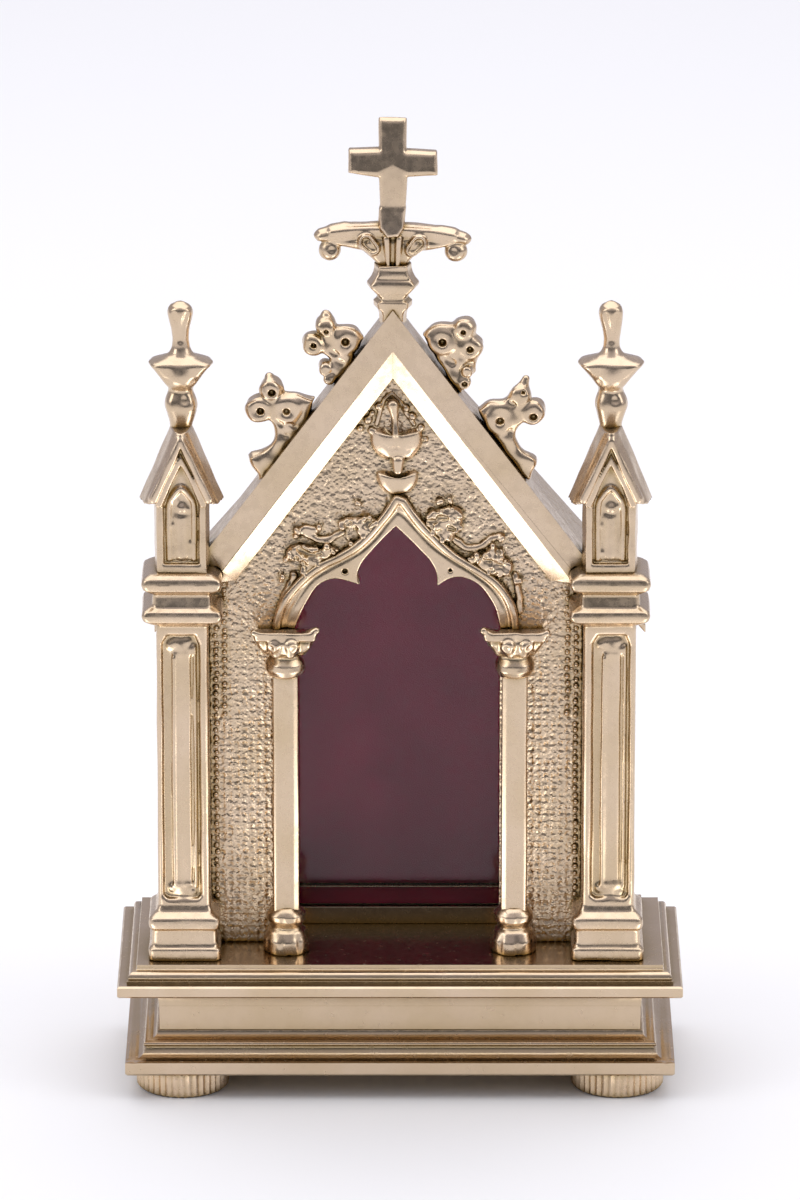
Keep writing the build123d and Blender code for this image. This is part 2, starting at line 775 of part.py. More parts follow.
def build_door():
    """Hinged rear door with its lining, hinges, knob and turn button."""
    parts["rear_door"] = block((-DOOR_HALF, DOOR_HALF), (DOOR_FRONT, DOOR_BACK), (DOOR_BOTTOM, DOOR_TOP))

    lining_gap = 0.6
    lining_x = NICHE_HALF - lining_gap
    lining_z = (NICHE_FLOOR + lining_gap, NICHE_TOP - lining_gap)
    parts["door_lining"] = block((-lining_x, lining_x), (FRAME_FRONT, DOOR_FRONT), lining_z)

    leaf_reach = 7.5
    door_leaf_y = (DOOR_BACK, DOOR_BACK + 0.9)
    frame_leaf_y = (FRAME_BACK, FRAME_BACK + 1.1)
    door_leaves = []
    frame_leaves = []
    pins = []
    for bottom, top in HINGE_SPANS:
        low, middle, high = hinge_thirds(bottom, top)
        door_leaves.append(knuckle(*middle, (HINGE_X, HINGE_X + leaf_reach + 1.5), door_leaf_y))
        for span in (low, high):
            frame_leaves.append(knuckle(*span, (HINGE_X - leaf_reach, HINGE_X), frame_leaf_y))
        head = 0.5
        head_radius = 1.1
        pin = rod_z(HINGE_X, HINGE_Y, PIN_RADIUS, bottom - head, top + head)
        pin += rod_z(HINGE_X, HINGE_Y, head_radius, top, top + head)
        pin += rod_z(HINGE_X, HINGE_Y, head_radius, bottom - head, bottom)
        pins.append(pin)
    parts["hinge_leaves_door"] = Compound(children=door_leaves)
    parts["hinge_leaves_frame"] = Compound(children=frame_leaves)
    parts["hinge_pins"] = Compound(children=pins)

    knob_x = 16.0
    knob_back = 24.2
    knob = turned([(1.3, 0, 0), (1.3, 1.4, -0.2), (2.6, 2.2, 0.4), (2.6, 3.2, 0), (1.6, 3.7, 0)])
    parts["door_knob"] = Pos(knob_x, knob_back - 3.7, LATCH_Z) * Rot(-90, 0, 0) * knob

    washer_back = 20.8
    button_back = 22.0
    screw_radius = 1.0
    screw_head = 1.9
    screw = rod_y(LATCH_X, LATCH_Z, screw_radius, FRAME_BACK, button_back)
    screw += rod_y(LATCH_X, LATCH_Z, screw_head, button_back + 0.1, button_back + 1.0)
    screw += rod_y(LATCH_X, LATCH_Z, screw_radius, button_back, button_back + 0.2)
    screw += rod_y(LATCH_X, LATCH_Z, screw_head, FRAME_BACK, washer_back - 0.1)
    slot_half = 0.25
    slot_front = button_back + 0.6
    slot_z = (LATCH_Z - slot_half, LATCH_Z + slot_half)
    screw -= block((LATCH_X - 2, LATCH_X + 2), (slot_front, FAR), slot_z)
    parts["turn_button_screw"] = screw
    long_end = 10.0
    short_end = 4.0
    button_middle = LATCH_Z - (long_end - short_end) / 2
    button_face = Pos(LATCH_X, button_middle) * SlotOverall(long_end + short_end, 3.6, rotation=90)
    button = slab(button_face, washer_back, button_back)
    parts["turn_button"] = button - rod_y(LATCH_X, LATCH_Z, screw_radius + PIN_CLEARANCE, 0, FAR)


# ---------------------------------------------------------------- build and export
def main():
    """Build every piece and write one STEP file for each."""
    build_base()
    build_piers()
    build_gable()
    build_hood()
    build_crockets()
    build_crest()
    build_colonnettes()
    build_casket()
    build_glazing()
    build_door()
    os.makedirs("parts", exist_ok=True)
    for name, shape in parts.items():
        export_step(shape, f"parts/{name}.step")


main()
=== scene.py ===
"""Small Gothic brass shrine with a glazed, velvet-lined niche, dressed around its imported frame."""
import math

import bmesh
import bpy
import numpy as np
from mathutils import Matrix, Vector


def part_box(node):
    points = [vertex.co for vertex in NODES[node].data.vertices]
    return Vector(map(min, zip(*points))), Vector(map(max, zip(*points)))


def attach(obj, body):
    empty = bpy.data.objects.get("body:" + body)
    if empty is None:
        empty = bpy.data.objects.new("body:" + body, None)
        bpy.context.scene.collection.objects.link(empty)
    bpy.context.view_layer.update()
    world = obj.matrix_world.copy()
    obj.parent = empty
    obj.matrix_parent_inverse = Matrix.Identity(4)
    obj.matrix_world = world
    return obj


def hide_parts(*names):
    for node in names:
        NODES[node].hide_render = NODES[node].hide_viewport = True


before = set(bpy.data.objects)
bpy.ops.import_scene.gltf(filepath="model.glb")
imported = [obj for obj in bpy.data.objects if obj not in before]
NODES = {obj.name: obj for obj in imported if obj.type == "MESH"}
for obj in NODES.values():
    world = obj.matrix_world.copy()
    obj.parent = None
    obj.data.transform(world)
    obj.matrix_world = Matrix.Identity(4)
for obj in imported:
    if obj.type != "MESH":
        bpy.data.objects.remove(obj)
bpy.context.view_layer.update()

MM = 0.001
SIDES = (("left", -1), ("right", 1))


def span(node):
    """A CAD node's lowest and highest corners, in millimetres."""
    low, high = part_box(node)
    return np.array(low) / MM, np.array(high) / MM


def middle(node):
    """The centre of a CAD node's box, in millimetres."""
    low, high = span(node)
    return (low + high) / 2


WALL_LOW, WALL_HIGH = span("facade_panel")
WALL = WALL_LOW[1]
CREST = middle("cross")[:2]
GABLE_X = CREST[0]
GABLE_SLOPE = 1.344
PIER_AT = {side: middle(f"pinnacle_finial_{side}")[:2] for side, _ in SIDES}


# ---- camera and light
def look_at(obj, target):
    """Turn an object so that its -Z axis points at the target."""
    direction = Vector(target) - obj.location
    obj.rotation_euler = direction.to_track_quat("-Z", "Y").to_euler()


def make_camera():
    """A long lens a little above the shrine, straight in front."""
    elevation = math.radians(18.5)
    distance = 1896 * MM
    target = Vector((0, 0, 105 * MM))
    data = bpy.data.cameras.new("camera")
    data.lens = 268.5
    data.sensor_width = 36
    data.clip_end = 100
    camera = bpy.data.objects.new("camera", data)
    bpy.context.scene.collection.objects.link(camera)
    camera.location = target + distance * Vector((0, -math.cos(elevation), math.sin(elevation)))
    look_at(camera, target)
    bpy.context.scene.camera = camera


def area_light(name, place, target, size, power, spread=180):
    """A rectangular soft light that faces a point."""
    data = bpy.data.lights.new(name, "AREA")
    data.shape = "RECTANGLE"
    data.size, data.size_y = size
    data.energy = power
    data.spread = math.radians(spread)
    light = bpy.data.objects.new(name, data)
    bpy.context.scene.collection.objects.link(light)
    light.location = place
    light.visible_camera = False
    light.visible_transmission = False
    look_at(light, target)


def make_room():
    """A grey-lilac room that is dark above the floor in front of the shrine."""
    world = bpy.data.worlds.new("room")
    bpy.context.scene.world = world
    world.use_nodes = True
    tree = world.node_tree
    where = tree.nodes.new("ShaderNodeTexCoord")
    split = tree.nodes.new("ShaderNodeSeparateXYZ")
    tree.links.new(where.outputs["Generated"], split.inputs["Vector"])
    either = tree.nodes.new("ShaderNodeMath")
    either.operation = "MAXIMUM"
    for slot, axis, reach in ((0, "Y", (-0.75, -0.25)), (1, "Z", (0.25, 0.6))):
        share = link_range(tree, split.outputs[axis], reach, (0, 1), "SMOOTHSTEP")
        tree.links.new(share, either.inputs[slot])
    colour = link_mix(tree, either.outputs["Value"], (0.15, 0.155, 0.18), (0.50, 0.49, 0.56))
    tree.links.new(colour, tree.nodes["Background"].inputs["Color"])


def make_floor():
    """A wide pale table."""
    bpy.ops.mesh.primitive_plane_add(size=14, location=(0, 4, 0))
    floor = bpy.context.object
    floor.name = "floor"
    material, _, shader = new_material("pale_floor")
    shader.inputs["Base Color"].default_value = (0.9, 0.9, 0.9, 1)
    shader.inputs["Roughness"].default_value = 0.9
    shader.inputs["Specular IOR Level"].default_value = 0.1
    floor.data.materials.append(material)


def make_studio():
    """Pale floor, soft boxes above, and low cards that the gable's bevels mirror."""
    scene = bpy.context.scene
    scene.view_settings.view_transform = "Standard"
    scene.cycles.max_bounces = 16
    scene.cycles.glossy_bounces = 8
    scene.cycles.transmission_bounces = 8
    make_room()
    make_floor()
    area_light("softbox_top", (0, 0.15, 1.5), (0, 0, 0.1), (2.2, 2.2), 22)
    for side, sign in SIDES:
        for number in range(3):
            place = Vector((sign * (0.047 + 0.03 * number), -0.059 - 0.008 * number, 0.01))
            bevel = place + Vector((-0.1 * sign, 0.0565, 0.1293))
            area_light(f"low_card_{side}_{number}", place, bevel, (0.06, 0.03), 0.0033, spread=80)
        area_light(f"softbox_{side}", (sign * 1.3, -0.5, 0.9), (0, 0, 0.1), (0.7, 0.9), 4)


# ---- node helpers
def new_material(name):
    """A node material, with its tree and its shader."""
    material = bpy.data.materials.new(name)
    material.use_nodes = True
    tree = material.node_tree
    return material, tree, tree.nodes["Principled BSDF"]


def link_noise(tree, where, scale, detail):
    """A noise texture on object coordinates."""
    noise = tree.nodes.new("ShaderNodeTexNoise")
    noise.inputs["Scale"].default_value = scale
    noise.inputs["Detail"].default_value = detail
    tree.links.new(where.outputs["Object"], noise.inputs["Vector"])
    return noise.outputs["Fac"]


def link_range(tree, value, from_range, to_range, ease="LINEAR"):
    """Map a value from one range to another, clamped."""
    node = tree.nodes.new("ShaderNodeMapRange")
    node.interpolation_type = ease
    node.inputs["From Min"].default_value, node.inputs["From Max"].default_value = from_range
    node.inputs["To Min"].default_value, node.inputs["To Max"].default_value = to_range
    tree.links.new(value, node.inputs["Value"])
    return node.outputs["Result"]


def link_mix(tree, factor, colour_a, colour_b):
    """Mix two colours, each a socket or a plain colour."""
    mix = tree.nodes.new("ShaderNodeMix")
    mix.data_type = "RGBA"
    tree.links.new(factor, mix.inputs["Factor"])
    for key, colour in (("A", colour_a), ("B", colour_b)):
        if isinstance(colour, tuple):
            mix.inputs[key].default_value = (*colour, 1)
        else:
            tree.links.new(colour, mix.inputs[key])
    return mix.outputs["Result"]


def link_bump(tree, height, strength, distance, under=None, sunk=False):
    """Raise or sink a surface by a height, over another bump if one is given."""
    bump = tree.nodes.new("ShaderNodeBump")
    bump.invert = sunk
    bump.inputs["Strength"].default_value = strength
    bump.inputs["Distance"].default_value = distance * MM
    tree.links.new(height, bump.inputs["Height"])
    if under:
        tree.links.new(under, bump.inputs["Normal"])
    return bump.outputs["Normal"]


# ---- materials
BRASS = (0.66, 0.518, 0.375)
OLD_BRASS = (0.57, 0.435, 0.275)
# Colours and strength of the darkening in hollows: partly patina, partly painted shade.
HOLLOW_PATINA_AND_SHADE = (0.34, 0.235, 0.085)
DEEP_PATINA_AND_SHADE = (0.085, 0.06, 0.028)
SHADE_AND_TARNISH = 0.9


def brass(name, roughness=0.21, reach=1.8, wave=0.16, shade=1.0, pebble=0.0):
    """Cast brass: its tone drifts, its hollows are darkened, partly as patina and partly as painted shade,
    and its polished skin is a little uneven.
    """
    # shade scales the whole brass colour: above 1 it is painted light, below 1 painted shade.
    bright, old = (tuple(shade * channel for channel in tone) for tone in (BRASS, OLD_BRASS))
    material, tree, shader = new_material(name)
    shader.inputs["Metallic"].default_value = 1.0
    where = tree.nodes.new("ShaderNodeTexCoord")

    drift = link_range(tree, link_noise(tree, where, 70, 4), (0.35, 0.75), (0, 0.75))
    tone = link_mix(tree, drift, bright, old)
    # Painted shade: ambient occlusion within reach darkens hollows, creases and undersides towards the brown
    # hollow colour, and the most enclosed spots towards near-black; this stands partly for patina and partly
    # for shade.
    hollow = tree.nodes.new("ShaderNodeAmbientOcclusion")
    hollow.samples = 6
    hollow.inputs["Distance"].default_value = reach * MM
    edge = link_range(tree, hollow.outputs["AO"], (0.5, 0.93), (SHADE_AND_TARNISH, 0))
    deep = link_range(tree, hollow.outputs["AO"], (0.15, 0.5), (SHADE_AND_TARNISH, 0))
    tarnished_and_shaded = link_mix(tree, edge, tone, HOLLOW_PATINA_AND_SHADE)
    tree.links.new(link_mix(tree, deep, tarnished_and_shaded, DEEP_PATINA_AND_SHADE), shader.inputs["Base Color"])

    fine = link_noise(tree, where, 600, 5)
    gloss = link_range(tree, fine, (0.3, 0.7), (roughness * 0.7, roughness * 1.35))
    tree.links.new(gloss, shader.inputs["Roughness"])

    skin = link_bump(tree, link_noise(tree, where, 110, 2), wave, 0.5)
    skin = link_bump(tree, fine, 0.06, 0.1, skin)
    if pebble:
        cells = tree.nodes.new("ShaderNodeTexVoronoi")
        cells.inputs["Scale"].default_value = 1600
        tree.links.new(where.outputs["Object"], cells.inputs["Vector"])
        skin = link_bump(tree, cells.outputs["Distance"], pebble, 0.3, skin, sunk=True)
    tree.links.new(skin, shader.inputs["Normal"])
    return material


def velvet():
    """Short crimson pile."""
    material, tree, shader = new_material("crimson_velvet")
    where = tree.nodes.new("ShaderNodeTexCoord")
    nap = link_range(tree, link_noise(tree, where, 32, 3), (0.35, 0.65), (0, 1))
    tree.links.new(link_mix(tree, nap, (0.36, 0.014, 0.07), (0.58, 0.024, 0.11)), shader.inputs["Base Color"])
    shader.inputs["Roughness"].default_value = 0.95
    shader.inputs["Sheen Weight"].default_value = 0.4
    shader.inputs["Sheen Tint"].default_value = (0.7, 0.12, 0.18, 1)
    tree.links.new(link_bump(tree, link_noise(tree, where, 3500, 2), 0.3, 0.1), shader.inputs["Normal"])
    return material


def clear_glass():
    """A thin clear pane."""
    material, _, shader = new_material("clear_glass")
    shader.inputs["Transmission Weight"].default_value = 1
    shader.inputs["Roughness"].default_value = 0.01
    shader.inputs["IOR"].default_value = 1.36
    return material


# ---- sculpting
def melt(a, b, blend):
    """The smaller of two distances, with a rounded join."""
    share = np.clip(0.5 + 0.5 * (b - a) / blend, 0, 1)
    return b + (a - b) * share - blend * share * (1 - share)


CORNERS = np.array([(i, j, k) for i in (0, 1) for j in (0, 1) for k in (0, 1)])


class Clay:
    """A block of space, in millimetres, in which a casting is modelled as a distance field.

    The block's corners and every shape in it are given from a centre in X and Y.
    """

    def __init__(self, low, high, step=0.25, centre=(0, 0)):
        self.low = np.array(low, float)
        self.centre = np.array((*centre, 0), float)
        self.step = step
        counts = [int(math.ceil((top - base) / step)) + 1 for base, top in zip(low, high)]
        lines = [(base + step * np.arange(count)).astype(np.float32) for base, count in zip(low, counts)]
        self.x, self.y, self.z = np.meshgrid(*lines, indexing="ij", sparse=True)
        self.field = np.full(counts, 30.0, np.float32)

    def add(self, shape, blend=0.4):
        """Join a shape on, with a fillet."""
        self.field = melt(self.field, shape, blend).astype(np.float32)

    def cut(self, shape, blend=0.3):
        """Carve a shape out, with a soft edge."""
        self.field = -melt(-self.field, shape, blend).astype(np.float32)

    def keep(self, shape, blend=0.3):
        """Keep only what is inside a shape."""
        self.field = -melt(-self.field, -shape, blend).astype(np.float32)

    def trim(self, bottom, top, back, blend=0.05):
        """Keep what lies between two heights and in front of a plane."""
        far = 60
        outline = [(-far, bottom), (far, bottom), (far, top), (-far, top)]
        self.keep(self.plate(outline, -far, back, 0.02), blend)

    def ball(self, centre, radius, squash=1.0):
        """A ball, flattened along Y by squash."""
        flat = radius * squash
        away = np.sqrt(
            ((self.x - centre[0]) / radius) ** 2
            + ((self.y - centre[1]) / flat) ** 2
            + ((self.z - centre[2]) / radius) ** 2
        )
        return (away - 1) * min(radius, flat)

    def rod(self, start, end, radius, end_radius=None):
        """A round bar between two points, which may taper."""
        end_radius = radius if end_radius is None else end_radius
        start, end = np.array(start, float), np.array(end, float)
        along = end - start
        over = (self.x - start[0], self.y - start[1], self.z - start[2])
        share = np.clip(sum(o * a for o, a in zip(over, along)) / float(along @ along), 0, 1)
        away = np.sqrt(sum((o - share * a) ** 2 for o, a in zip(over, along)))
        return away - (radius + share * (end_radius - radius))

    def brick(self, low, high, round_off=0.4):
        """A box between two corners, with rounded edges."""
        low, high = np.array(low, float), np.array(high, float)
        mid, half = (low + high) / 2, (high - low) / 2 - round_off
        x, y, z = (np.abs(axis - m) - h for axis, m, h in zip((self.x, self.y, self.z), mid, half))
        outside = np.sqrt(np.maximum(x, 0) ** 2 + np.maximum(y, 0) ** 2 + np.maximum(z, 0) ** 2)
        return outside + np.minimum(np.maximum(np.maximum(x, y), z), 0) - round_off

    def plate(self, outline, front, back, round_off=0.4, crown=0.0, reach=2.0):
        """An outline in X and Z made solid between two planes; crown lets its edges fall away."""
        flat = outline if isinstance(outline, np.ndarray) else self.inside(outline)
        half = (back - front) / 2
        if crown:
            half = half - crown * np.clip(1 + flat / reach, 0, 1) ** 2
        deep = np.abs(self.y - (front + back) / 2) - half + round_off
        wide = flat + round_off
        outside = np.sqrt(np.maximum(deep, 0) ** 2 + np.maximum(wide, 0) ** 2)
        return outside + np.minimum(np.maximum(deep, wide), 0) - round_off

    def beside(self, points):
        """Distance in X and Z to an open line."""
        near = np.full(np.broadcast(self.x, self.z).shape, 1e9)
        for (ax, az), (bx, bz) in zip(points, points[1:]):
            run, rise = bx - ax, bz - az
            share = np.clip(((self.x - ax) * run + (self.z - az) * rise) / (run**2 + rise**2), 0, 1)
            near = np.minimum(near, (self.x - ax - share * run) ** 2 + (self.z - az - share * rise) ** 2)
        return np.sqrt(near)

    def inside(self, points):
        """Signed distance in X and Z to a closed outline, negative inside."""
        closed = points + points[:1]
        crossings = np.zeros(np.broadcast(self.x, self.z).shape, int)
        for (ax, az), (bx, bz) in zip(closed, closed[1:]):
            if az != bz:
                level = (az > self.z) != (bz > self.z)
                crossings = crossings + (level & (self.x < ax + (bx - ax) * (self.z - az) / (bz - az)))
        return self.beside(closed) * np.where(crossings % 2 == 1, -1, 1)

    def cord(self, points, y, radius, squash=1.0):
        """A half-round moulding that follows a line on the front."""
        return np.sqrt(self.beside(points) ** 2 + ((self.y - y) / squash) ** 2) - radius

    def profile(self, heights, sizes, soft=0.0):
        """A size at every height; soft is how far up and down its corners are worn round."""
        nearby = [self.z + soft * part for part in (-1, -0.5, 0, 0.5, 1)]
        return np.mean([np.interp(z, heights, sizes) for z in nearby], axis=0)

    def turning(self, steps):
        """A round upright moulding about the centre from (height, radius) steps."""
        heights, radii = zip(*steps)
        caps = np.maximum(heights[0] - self.z, self.z - heights[-1])
        plan = np.sqrt(self.x**2 + self.y**2) - self.profile(heights, radii)
        return np.maximum(plan, caps).astype(np.float32)

    def moulding(self, steps, corner, draft=0.0, soft=0.0):
        """A square upright moulding about the centre from (height, half X, half Y) steps.

        Half Y may be left out where it is half X. The corners are rounded, and draft narrows the front.
        """
        heights, wide, deep = zip(*[(*step, step[1])[:3] for step in steps])
        wide = np.abs(self.x) + draft * np.abs(self.y) - self.profile(heights, wide, soft) + corner
        deep = np.abs(self.y) - self.profile(heights, deep, soft) + corner
        outside = np.sqrt(np.maximum(wide, 0) ** 2 + np.maximum(deep, 0) ** 2)
        plan = outside + np.minimum(np.maximum(wide, deep), 0) - corner
        caps = np.maximum(heights[0] - self.z, self.z - heights[-1])
        return np.maximum(plan, caps).astype(np.float32)

    def wobble(self, amount, length, seed):
        """A gentle unevenness for the whole surface, as hand-finished castings have."""
        rng = np.random.default_rng(seed)
        x, y = self.x + self.centre[0], self.y + self.centre[1]
        for _ in range(5):
            direction = rng.normal(size=3)
            direction *= 2 * math.pi / (length * rng.uniform(0.7, 1.4) * np.linalg.norm(direction))
            phase = rng.uniform(0, 2 * math.pi)
            wave = np.sin(x * direction[0] + y * direction[1] + self.z * direction[2] + phase)
            self.field = self.field + (amount / 5) * wave.astype(np.float32)

    def crossed_cells(self):
        """The cells that the surface crosses, and where in each cell its vertex lies."""
        solid = self.field < 0
        size_x, size_y, size_z = np.array(solid.shape) - 1
        count = np.zeros((size_x, size_y, size_z), np.int8)
        for i, j, k in CORNERS:
            count += solid[i : i + size_x, j : j + size_y, k : k + size_z]
        cells = np.argwhere((count > 0) & (count < 8))
        values = np.stack([self.field[tuple((cells + corner).T)] for corner in CORNERS], axis=1)
        total, hits = np.zeros((len(cells), 3)), np.zeros(len(cells))
        for a, start in enumerate(CORNERS):
            for b, end in enumerate(CORNERS):
                if b > a and np.abs(end - start).sum() == 1:
                    crossed = (values[:, a] < 0) != (values[:, b] < 0)
                    share = values[crossed, a] / (values[crossed, a] - values[crossed, b])
                    total[crossed] += start + share[:, None] * (end - start)
                    hits[crossed] += 1
        return cells, total / hits[:, None]

    def quads(self, cells):
        """A face across each grid line that the surface crosses, as four cell numbers."""
        solid = (self.field < 0).astype(np.int8)
        shape = np.array(solid.shape) - 1
        index = np.full(shape, -1)
        index[tuple(cells.T)] = np.arange(len(cells))
        quads = []
        for axis in range(3):
            others = (axis + 1) % 3, (axis + 2) % 3
            change = np.diff(solid, axis=axis)
            edges = np.argwhere(change != 0)
            edges = edges[np.all([(edges[:, o] > 0) & (edges[:, o] < shape[o]) for o in others], axis=0)]
            step_a, step_b = np.eye(3, dtype=int)[list(others)]
            ring = (edges - step_a - step_b, edges - step_b, edges, edges - step_a)
            quad = np.stack([index[tuple(corner.T)] for corner in ring], axis=1)
            outward = change[tuple(edges.T)] > 0
            quad[outward] = quad[outward][:, ::-1]
            quads.append(quad)
        return np.concatenate(quads)

    def mesh(self, name):
        """The surface of the clay: one vertex in each cell that it crosses, joined by quads."""
        cells, inner = self.crossed_cells()
        points = (cells + inner) * self.step + self.low + self.centre
        quads = self.quads(cells)
        mesh = bpy.data.meshes.new(name)
        mesh.vertices.add(len(points))
        mesh.vertices.foreach_set("co", (points * MM).ravel())
        mesh.loops.add(4 * len(quads))
        mesh.loops.foreach_set("vertex_index", quads.ravel())
        mesh.polygons.add(len(quads))
        mesh.polygons.foreach_set("loop_start", np.arange(0, 4 * len(quads), 4))
        mesh.polygons.foreach_set("use_smooth", np.ones(len(quads), bool))
        mesh.update(calc_edges=True)
        mesh.validate()
        return mesh


def piece(mesh, material, replaces=(), body="shrine"):
    """Put a mesh in the scene as a piece that rides on a body and stands for CAD nodes."""
    obj = bpy.data.objects.new(mesh.name, mesh)
    bpy.context.scene.collection.objects.link(obj)
    mesh.materials.append(material)
    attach(obj, body)
    if replaces:
        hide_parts(*replaces)
    return obj


def cast(clay, name, material, node):
    """Make a clay model the brass casting that stands for a CAD node."""
    piece(clay.mesh(f"{name}_casting"), material, [node])


def soften(node, width):
    """Round a CAD node's sharp edges as a casting's are."""
    obj = NODES[node]
    weld = obj.modifiers.new("weld", "WELD")
    weld.merge_threshold = 0.001 * MM
    bevel = obj.modifiers.new("soft_edges", "BEVEL")
    bevel.width = width
    bevel.segments = 3
    bevel.limit_method = "ANGLE"
    bevel.angle_limit = math.radians(28)
    for face in obj.data.polygons:
        face.use_smooth = True
    obj.modifiers.new("normals", "WEIGHTED_NORMAL")


def curve(points, sharp=(), parts=4):
    """A smooth line through points, with corners only at the sharp ones."""
    line = [points[0]]
    last = len(points) - 1
    for i in range(last):
        before = points[i] if i == 0 or points[i] in sharp else points[i - 1]
        after = points[i + 1] if i + 1 == last or points[i + 1] in sharp else points[i + 2]
        p0, p1, p2, p3 = (np.array(p) for p in (before, points[i], points[i + 1], after))
        for k in range(1, parts + 1):
            t = k / parts
            bend = (2 * p0 - 5 * p1 + 4 * p2 - p3) * t**2 + (3 * p1 - p0 - 3 * p2 + p3) * t**3
            spot = 0.5 * (2 * p1 + (p2 - p0) * t + bend)
            line.append((float(spot[0]), float(spot[1])))
    return line


def loop(points):
    """A smooth closed line through points."""
    return curve(points + points[:1])[:-1]


# ---- crest: cross, bracket and knop
def make_cross(material):
    """Cross whose face leans back above a crease across the arms, with a swollen foot."""
    low, high = span("cross")
    foot, top = low[2], high[2]
    arm, half = (high[0] - low[0]) / 2, (high[1] - low[1]) / 2
    clay = Clay((-12, -4, foot - 3), (12, 4, top + 1), 0.25, CREST)
    outline = [
        (-3.3, foot - 1.5), (-2.7, foot + 4), (-2.9, top - 12.4), (-arm, top - 11.4), (-arm, top - 6.5),
        (-2.9, top - 6.4), (-3.0, top), (3.0, top - 0.1), (2.9, top - 6.7), (arm, top - 7.0),
        (arm, top - 11.9), (3.0, top - 12.2), (2.8, foot + 4), (2.2, foot - 1.5),
    ]
    above = clay.z - (top - 9.3 - 0.5 * np.minimum(np.abs(clay.x), 3.2))
    front = np.maximum(-half - clay.y, (0.25 * above - clay.y - half) * 0.97)
    back = clay.y - half + 0.04 * above
    clay.add(-melt(-clay.inside(outline), -np.maximum(front, back), 1.3))
    flare = [
        (-2.7, foot + 3.8), (2.5, foot + 3.8), (2.2, foot - 0.4), (1.2, foot - 1.9), (-1.2, foot - 2.1),
        (-2.4, foot - 0.4),
    ]
    slant = (clay.y + half + 0.26 * (foot + 3.2 - clay.z)) * 0.96
    clay.add(-melt(-clay.plate(flare, -half - 2, 0, 0.5), slant, 0.9), 0.9)
    clay.wobble(0.10, 9, 1)
    cast(clay, "cross", material, "cross")


def make_bracket(material):
    """Two leaf arms with rolled tops and a ball below each end, alike in front and behind."""
    top = span("apex_bracket")[1][2] - 0.6
    bottom = span("apex_knop")[1][2]
    clay = Clay((-19, -4.5, bottom - 1), (19, 4.5, top + 2.5), 0.25, CREST)
    wing = [
        (-2.6, bottom - 0.3), (-4.3, bottom + 1.6), (-6.3, bottom + 3.4), (-10.6, bottom + 4.2),
        (-13.5, bottom + 5.2), (-15.6, top - 3.0), (-16.4, top - 1.9), (-15.4, top - 0.7), (-12, top + 0.2),
        (0, top + 0.5), (12, top - 0.6), (15.2, top - 1.5), (16.2, top - 2.6), (15.4, top - 3.6),
        (13.5, bottom + 4.9), (10.4, bottom + 4.0), (6.0, bottom + 3.2), (4.0, bottom + 1.6),
        (2.6, bottom - 0.3),
    ]
    clay.add(clay.plate(wing, -2.1, 2.1, 0.8, crown=0.8, reach=2.0))
    roll = [(-12.6, top - 0.9), (-8, top - 0.4), (0, top - 0.3), (8, top - 0.9), (12.6, top - 1.7)]
    clay.add(clay.cord(roll, 0, 1.25, 1.9), 0.4)
    for x, z in (roll[0], roll[-1]):
        out = math.copysign(1, x)
        clay.add(clay.rod((x - out * 2.5, 0, z + 0.1), (x + out * 2.7, 0, z - 1.0), 1.5, 1.0), 0.9)
    for y in (-2.3, 2.3):
        clay.cut(clay.cord([(x, z - 2.0) for x, z in roll], y, 0.45), 0.6)
    for sign, drop in ((-1, 0.0), (1, 0.3)):
        ball, curl = bottom + 3.4 - drop, bottom + 5.0 - drop
        clay.add(clay.ball((sign * 13.1, 0, ball), 2.35, 0.95), 0.5)
        for face in (-1, 1):
            clay.cut(clay.ball((sign * 12.6, face * 2.6, ball + 0.5), 0.9), 0.6)
            x = sign * (4.6 - 0.2 * drop)
            head, tail = x + sign * 0.9, x - sign * 0.5
            clay.add(clay.rod((head, face * 2.2, curl + 0.8), (tail, face * 2.2, curl - 0.7), 1.75, 1.5), 0.7)
            clay.cut(clay.rod((head, face * 3.4, curl + 0.8), (tail, face * 3.4, curl - 0.7), 1.15, 0.9), 0.4)
            clay.add(clay.rod((x, face * 2.2, curl), (x + sign * 0.5, face * 2.4, curl + 0.5), 0.5, 0.4), 0.4)
    for face in (-1, 1):
        for sign in (-1, 1):
            start, end = (sign * 0.9, face * 2.3, bottom + 0.2), (sign * 1.3, face * 2.4, top - 2.0)
            clay.add(clay.rod(start, end, 0.5, 0.7), 0.6)
        clay.cut(clay.rod((0, face * 2.6, bottom - 1), (0, face * 2.8, top - 0.5), 0.55, 0.7), 0.2)
    clay.wobble(0.14, 6, 2)
    cast(clay, "bracket", material, "apex_bracket")


def make_knop(material):
    """Moulded knop below the bracket, narrower in front, with filed grooves."""
    low, high = span("apex_knop")
    clay = Clay((-7, -6, low[2] - 0.5), (7, 6, high[2] + 1.2), 0.25, CREST)
    steps = [
        (low[2], 2.9, 3.0), (170.6, 2.9, 3.0), (171.6, 3.2, 3.1), (172.4, 4.0, 3.2), (173.6, 4.1, 3.3),
        (174.1, 3.3, 3.0), (174.6, 3.3, 3.0), (175.6, 4.3, 3.4), (176.9, 5.5, 3.7), (177.5, 5.6, 3.7),
        (178.6, 4.7, 3.5), (179.6, 4.2, 3.3), (180.6, 3.9, 3.2), (high[2] + 0.6, 3.9, 3.2),
    ]
    clay.add(clay.moulding(steps, 0.7, 0.3), 0.1)
    for z in (171.8, 175.2, 178.9, 180.7):
        for face in (-1, 1):
            clay.cut(clay.rod((-4, face * 3.7, z), (4, face * 3.6, z - 0.1), 0.42), 0.35)
    clay.wobble(0.16, 5, 3)
    cast(clay, "knop", material, "apex_knop")


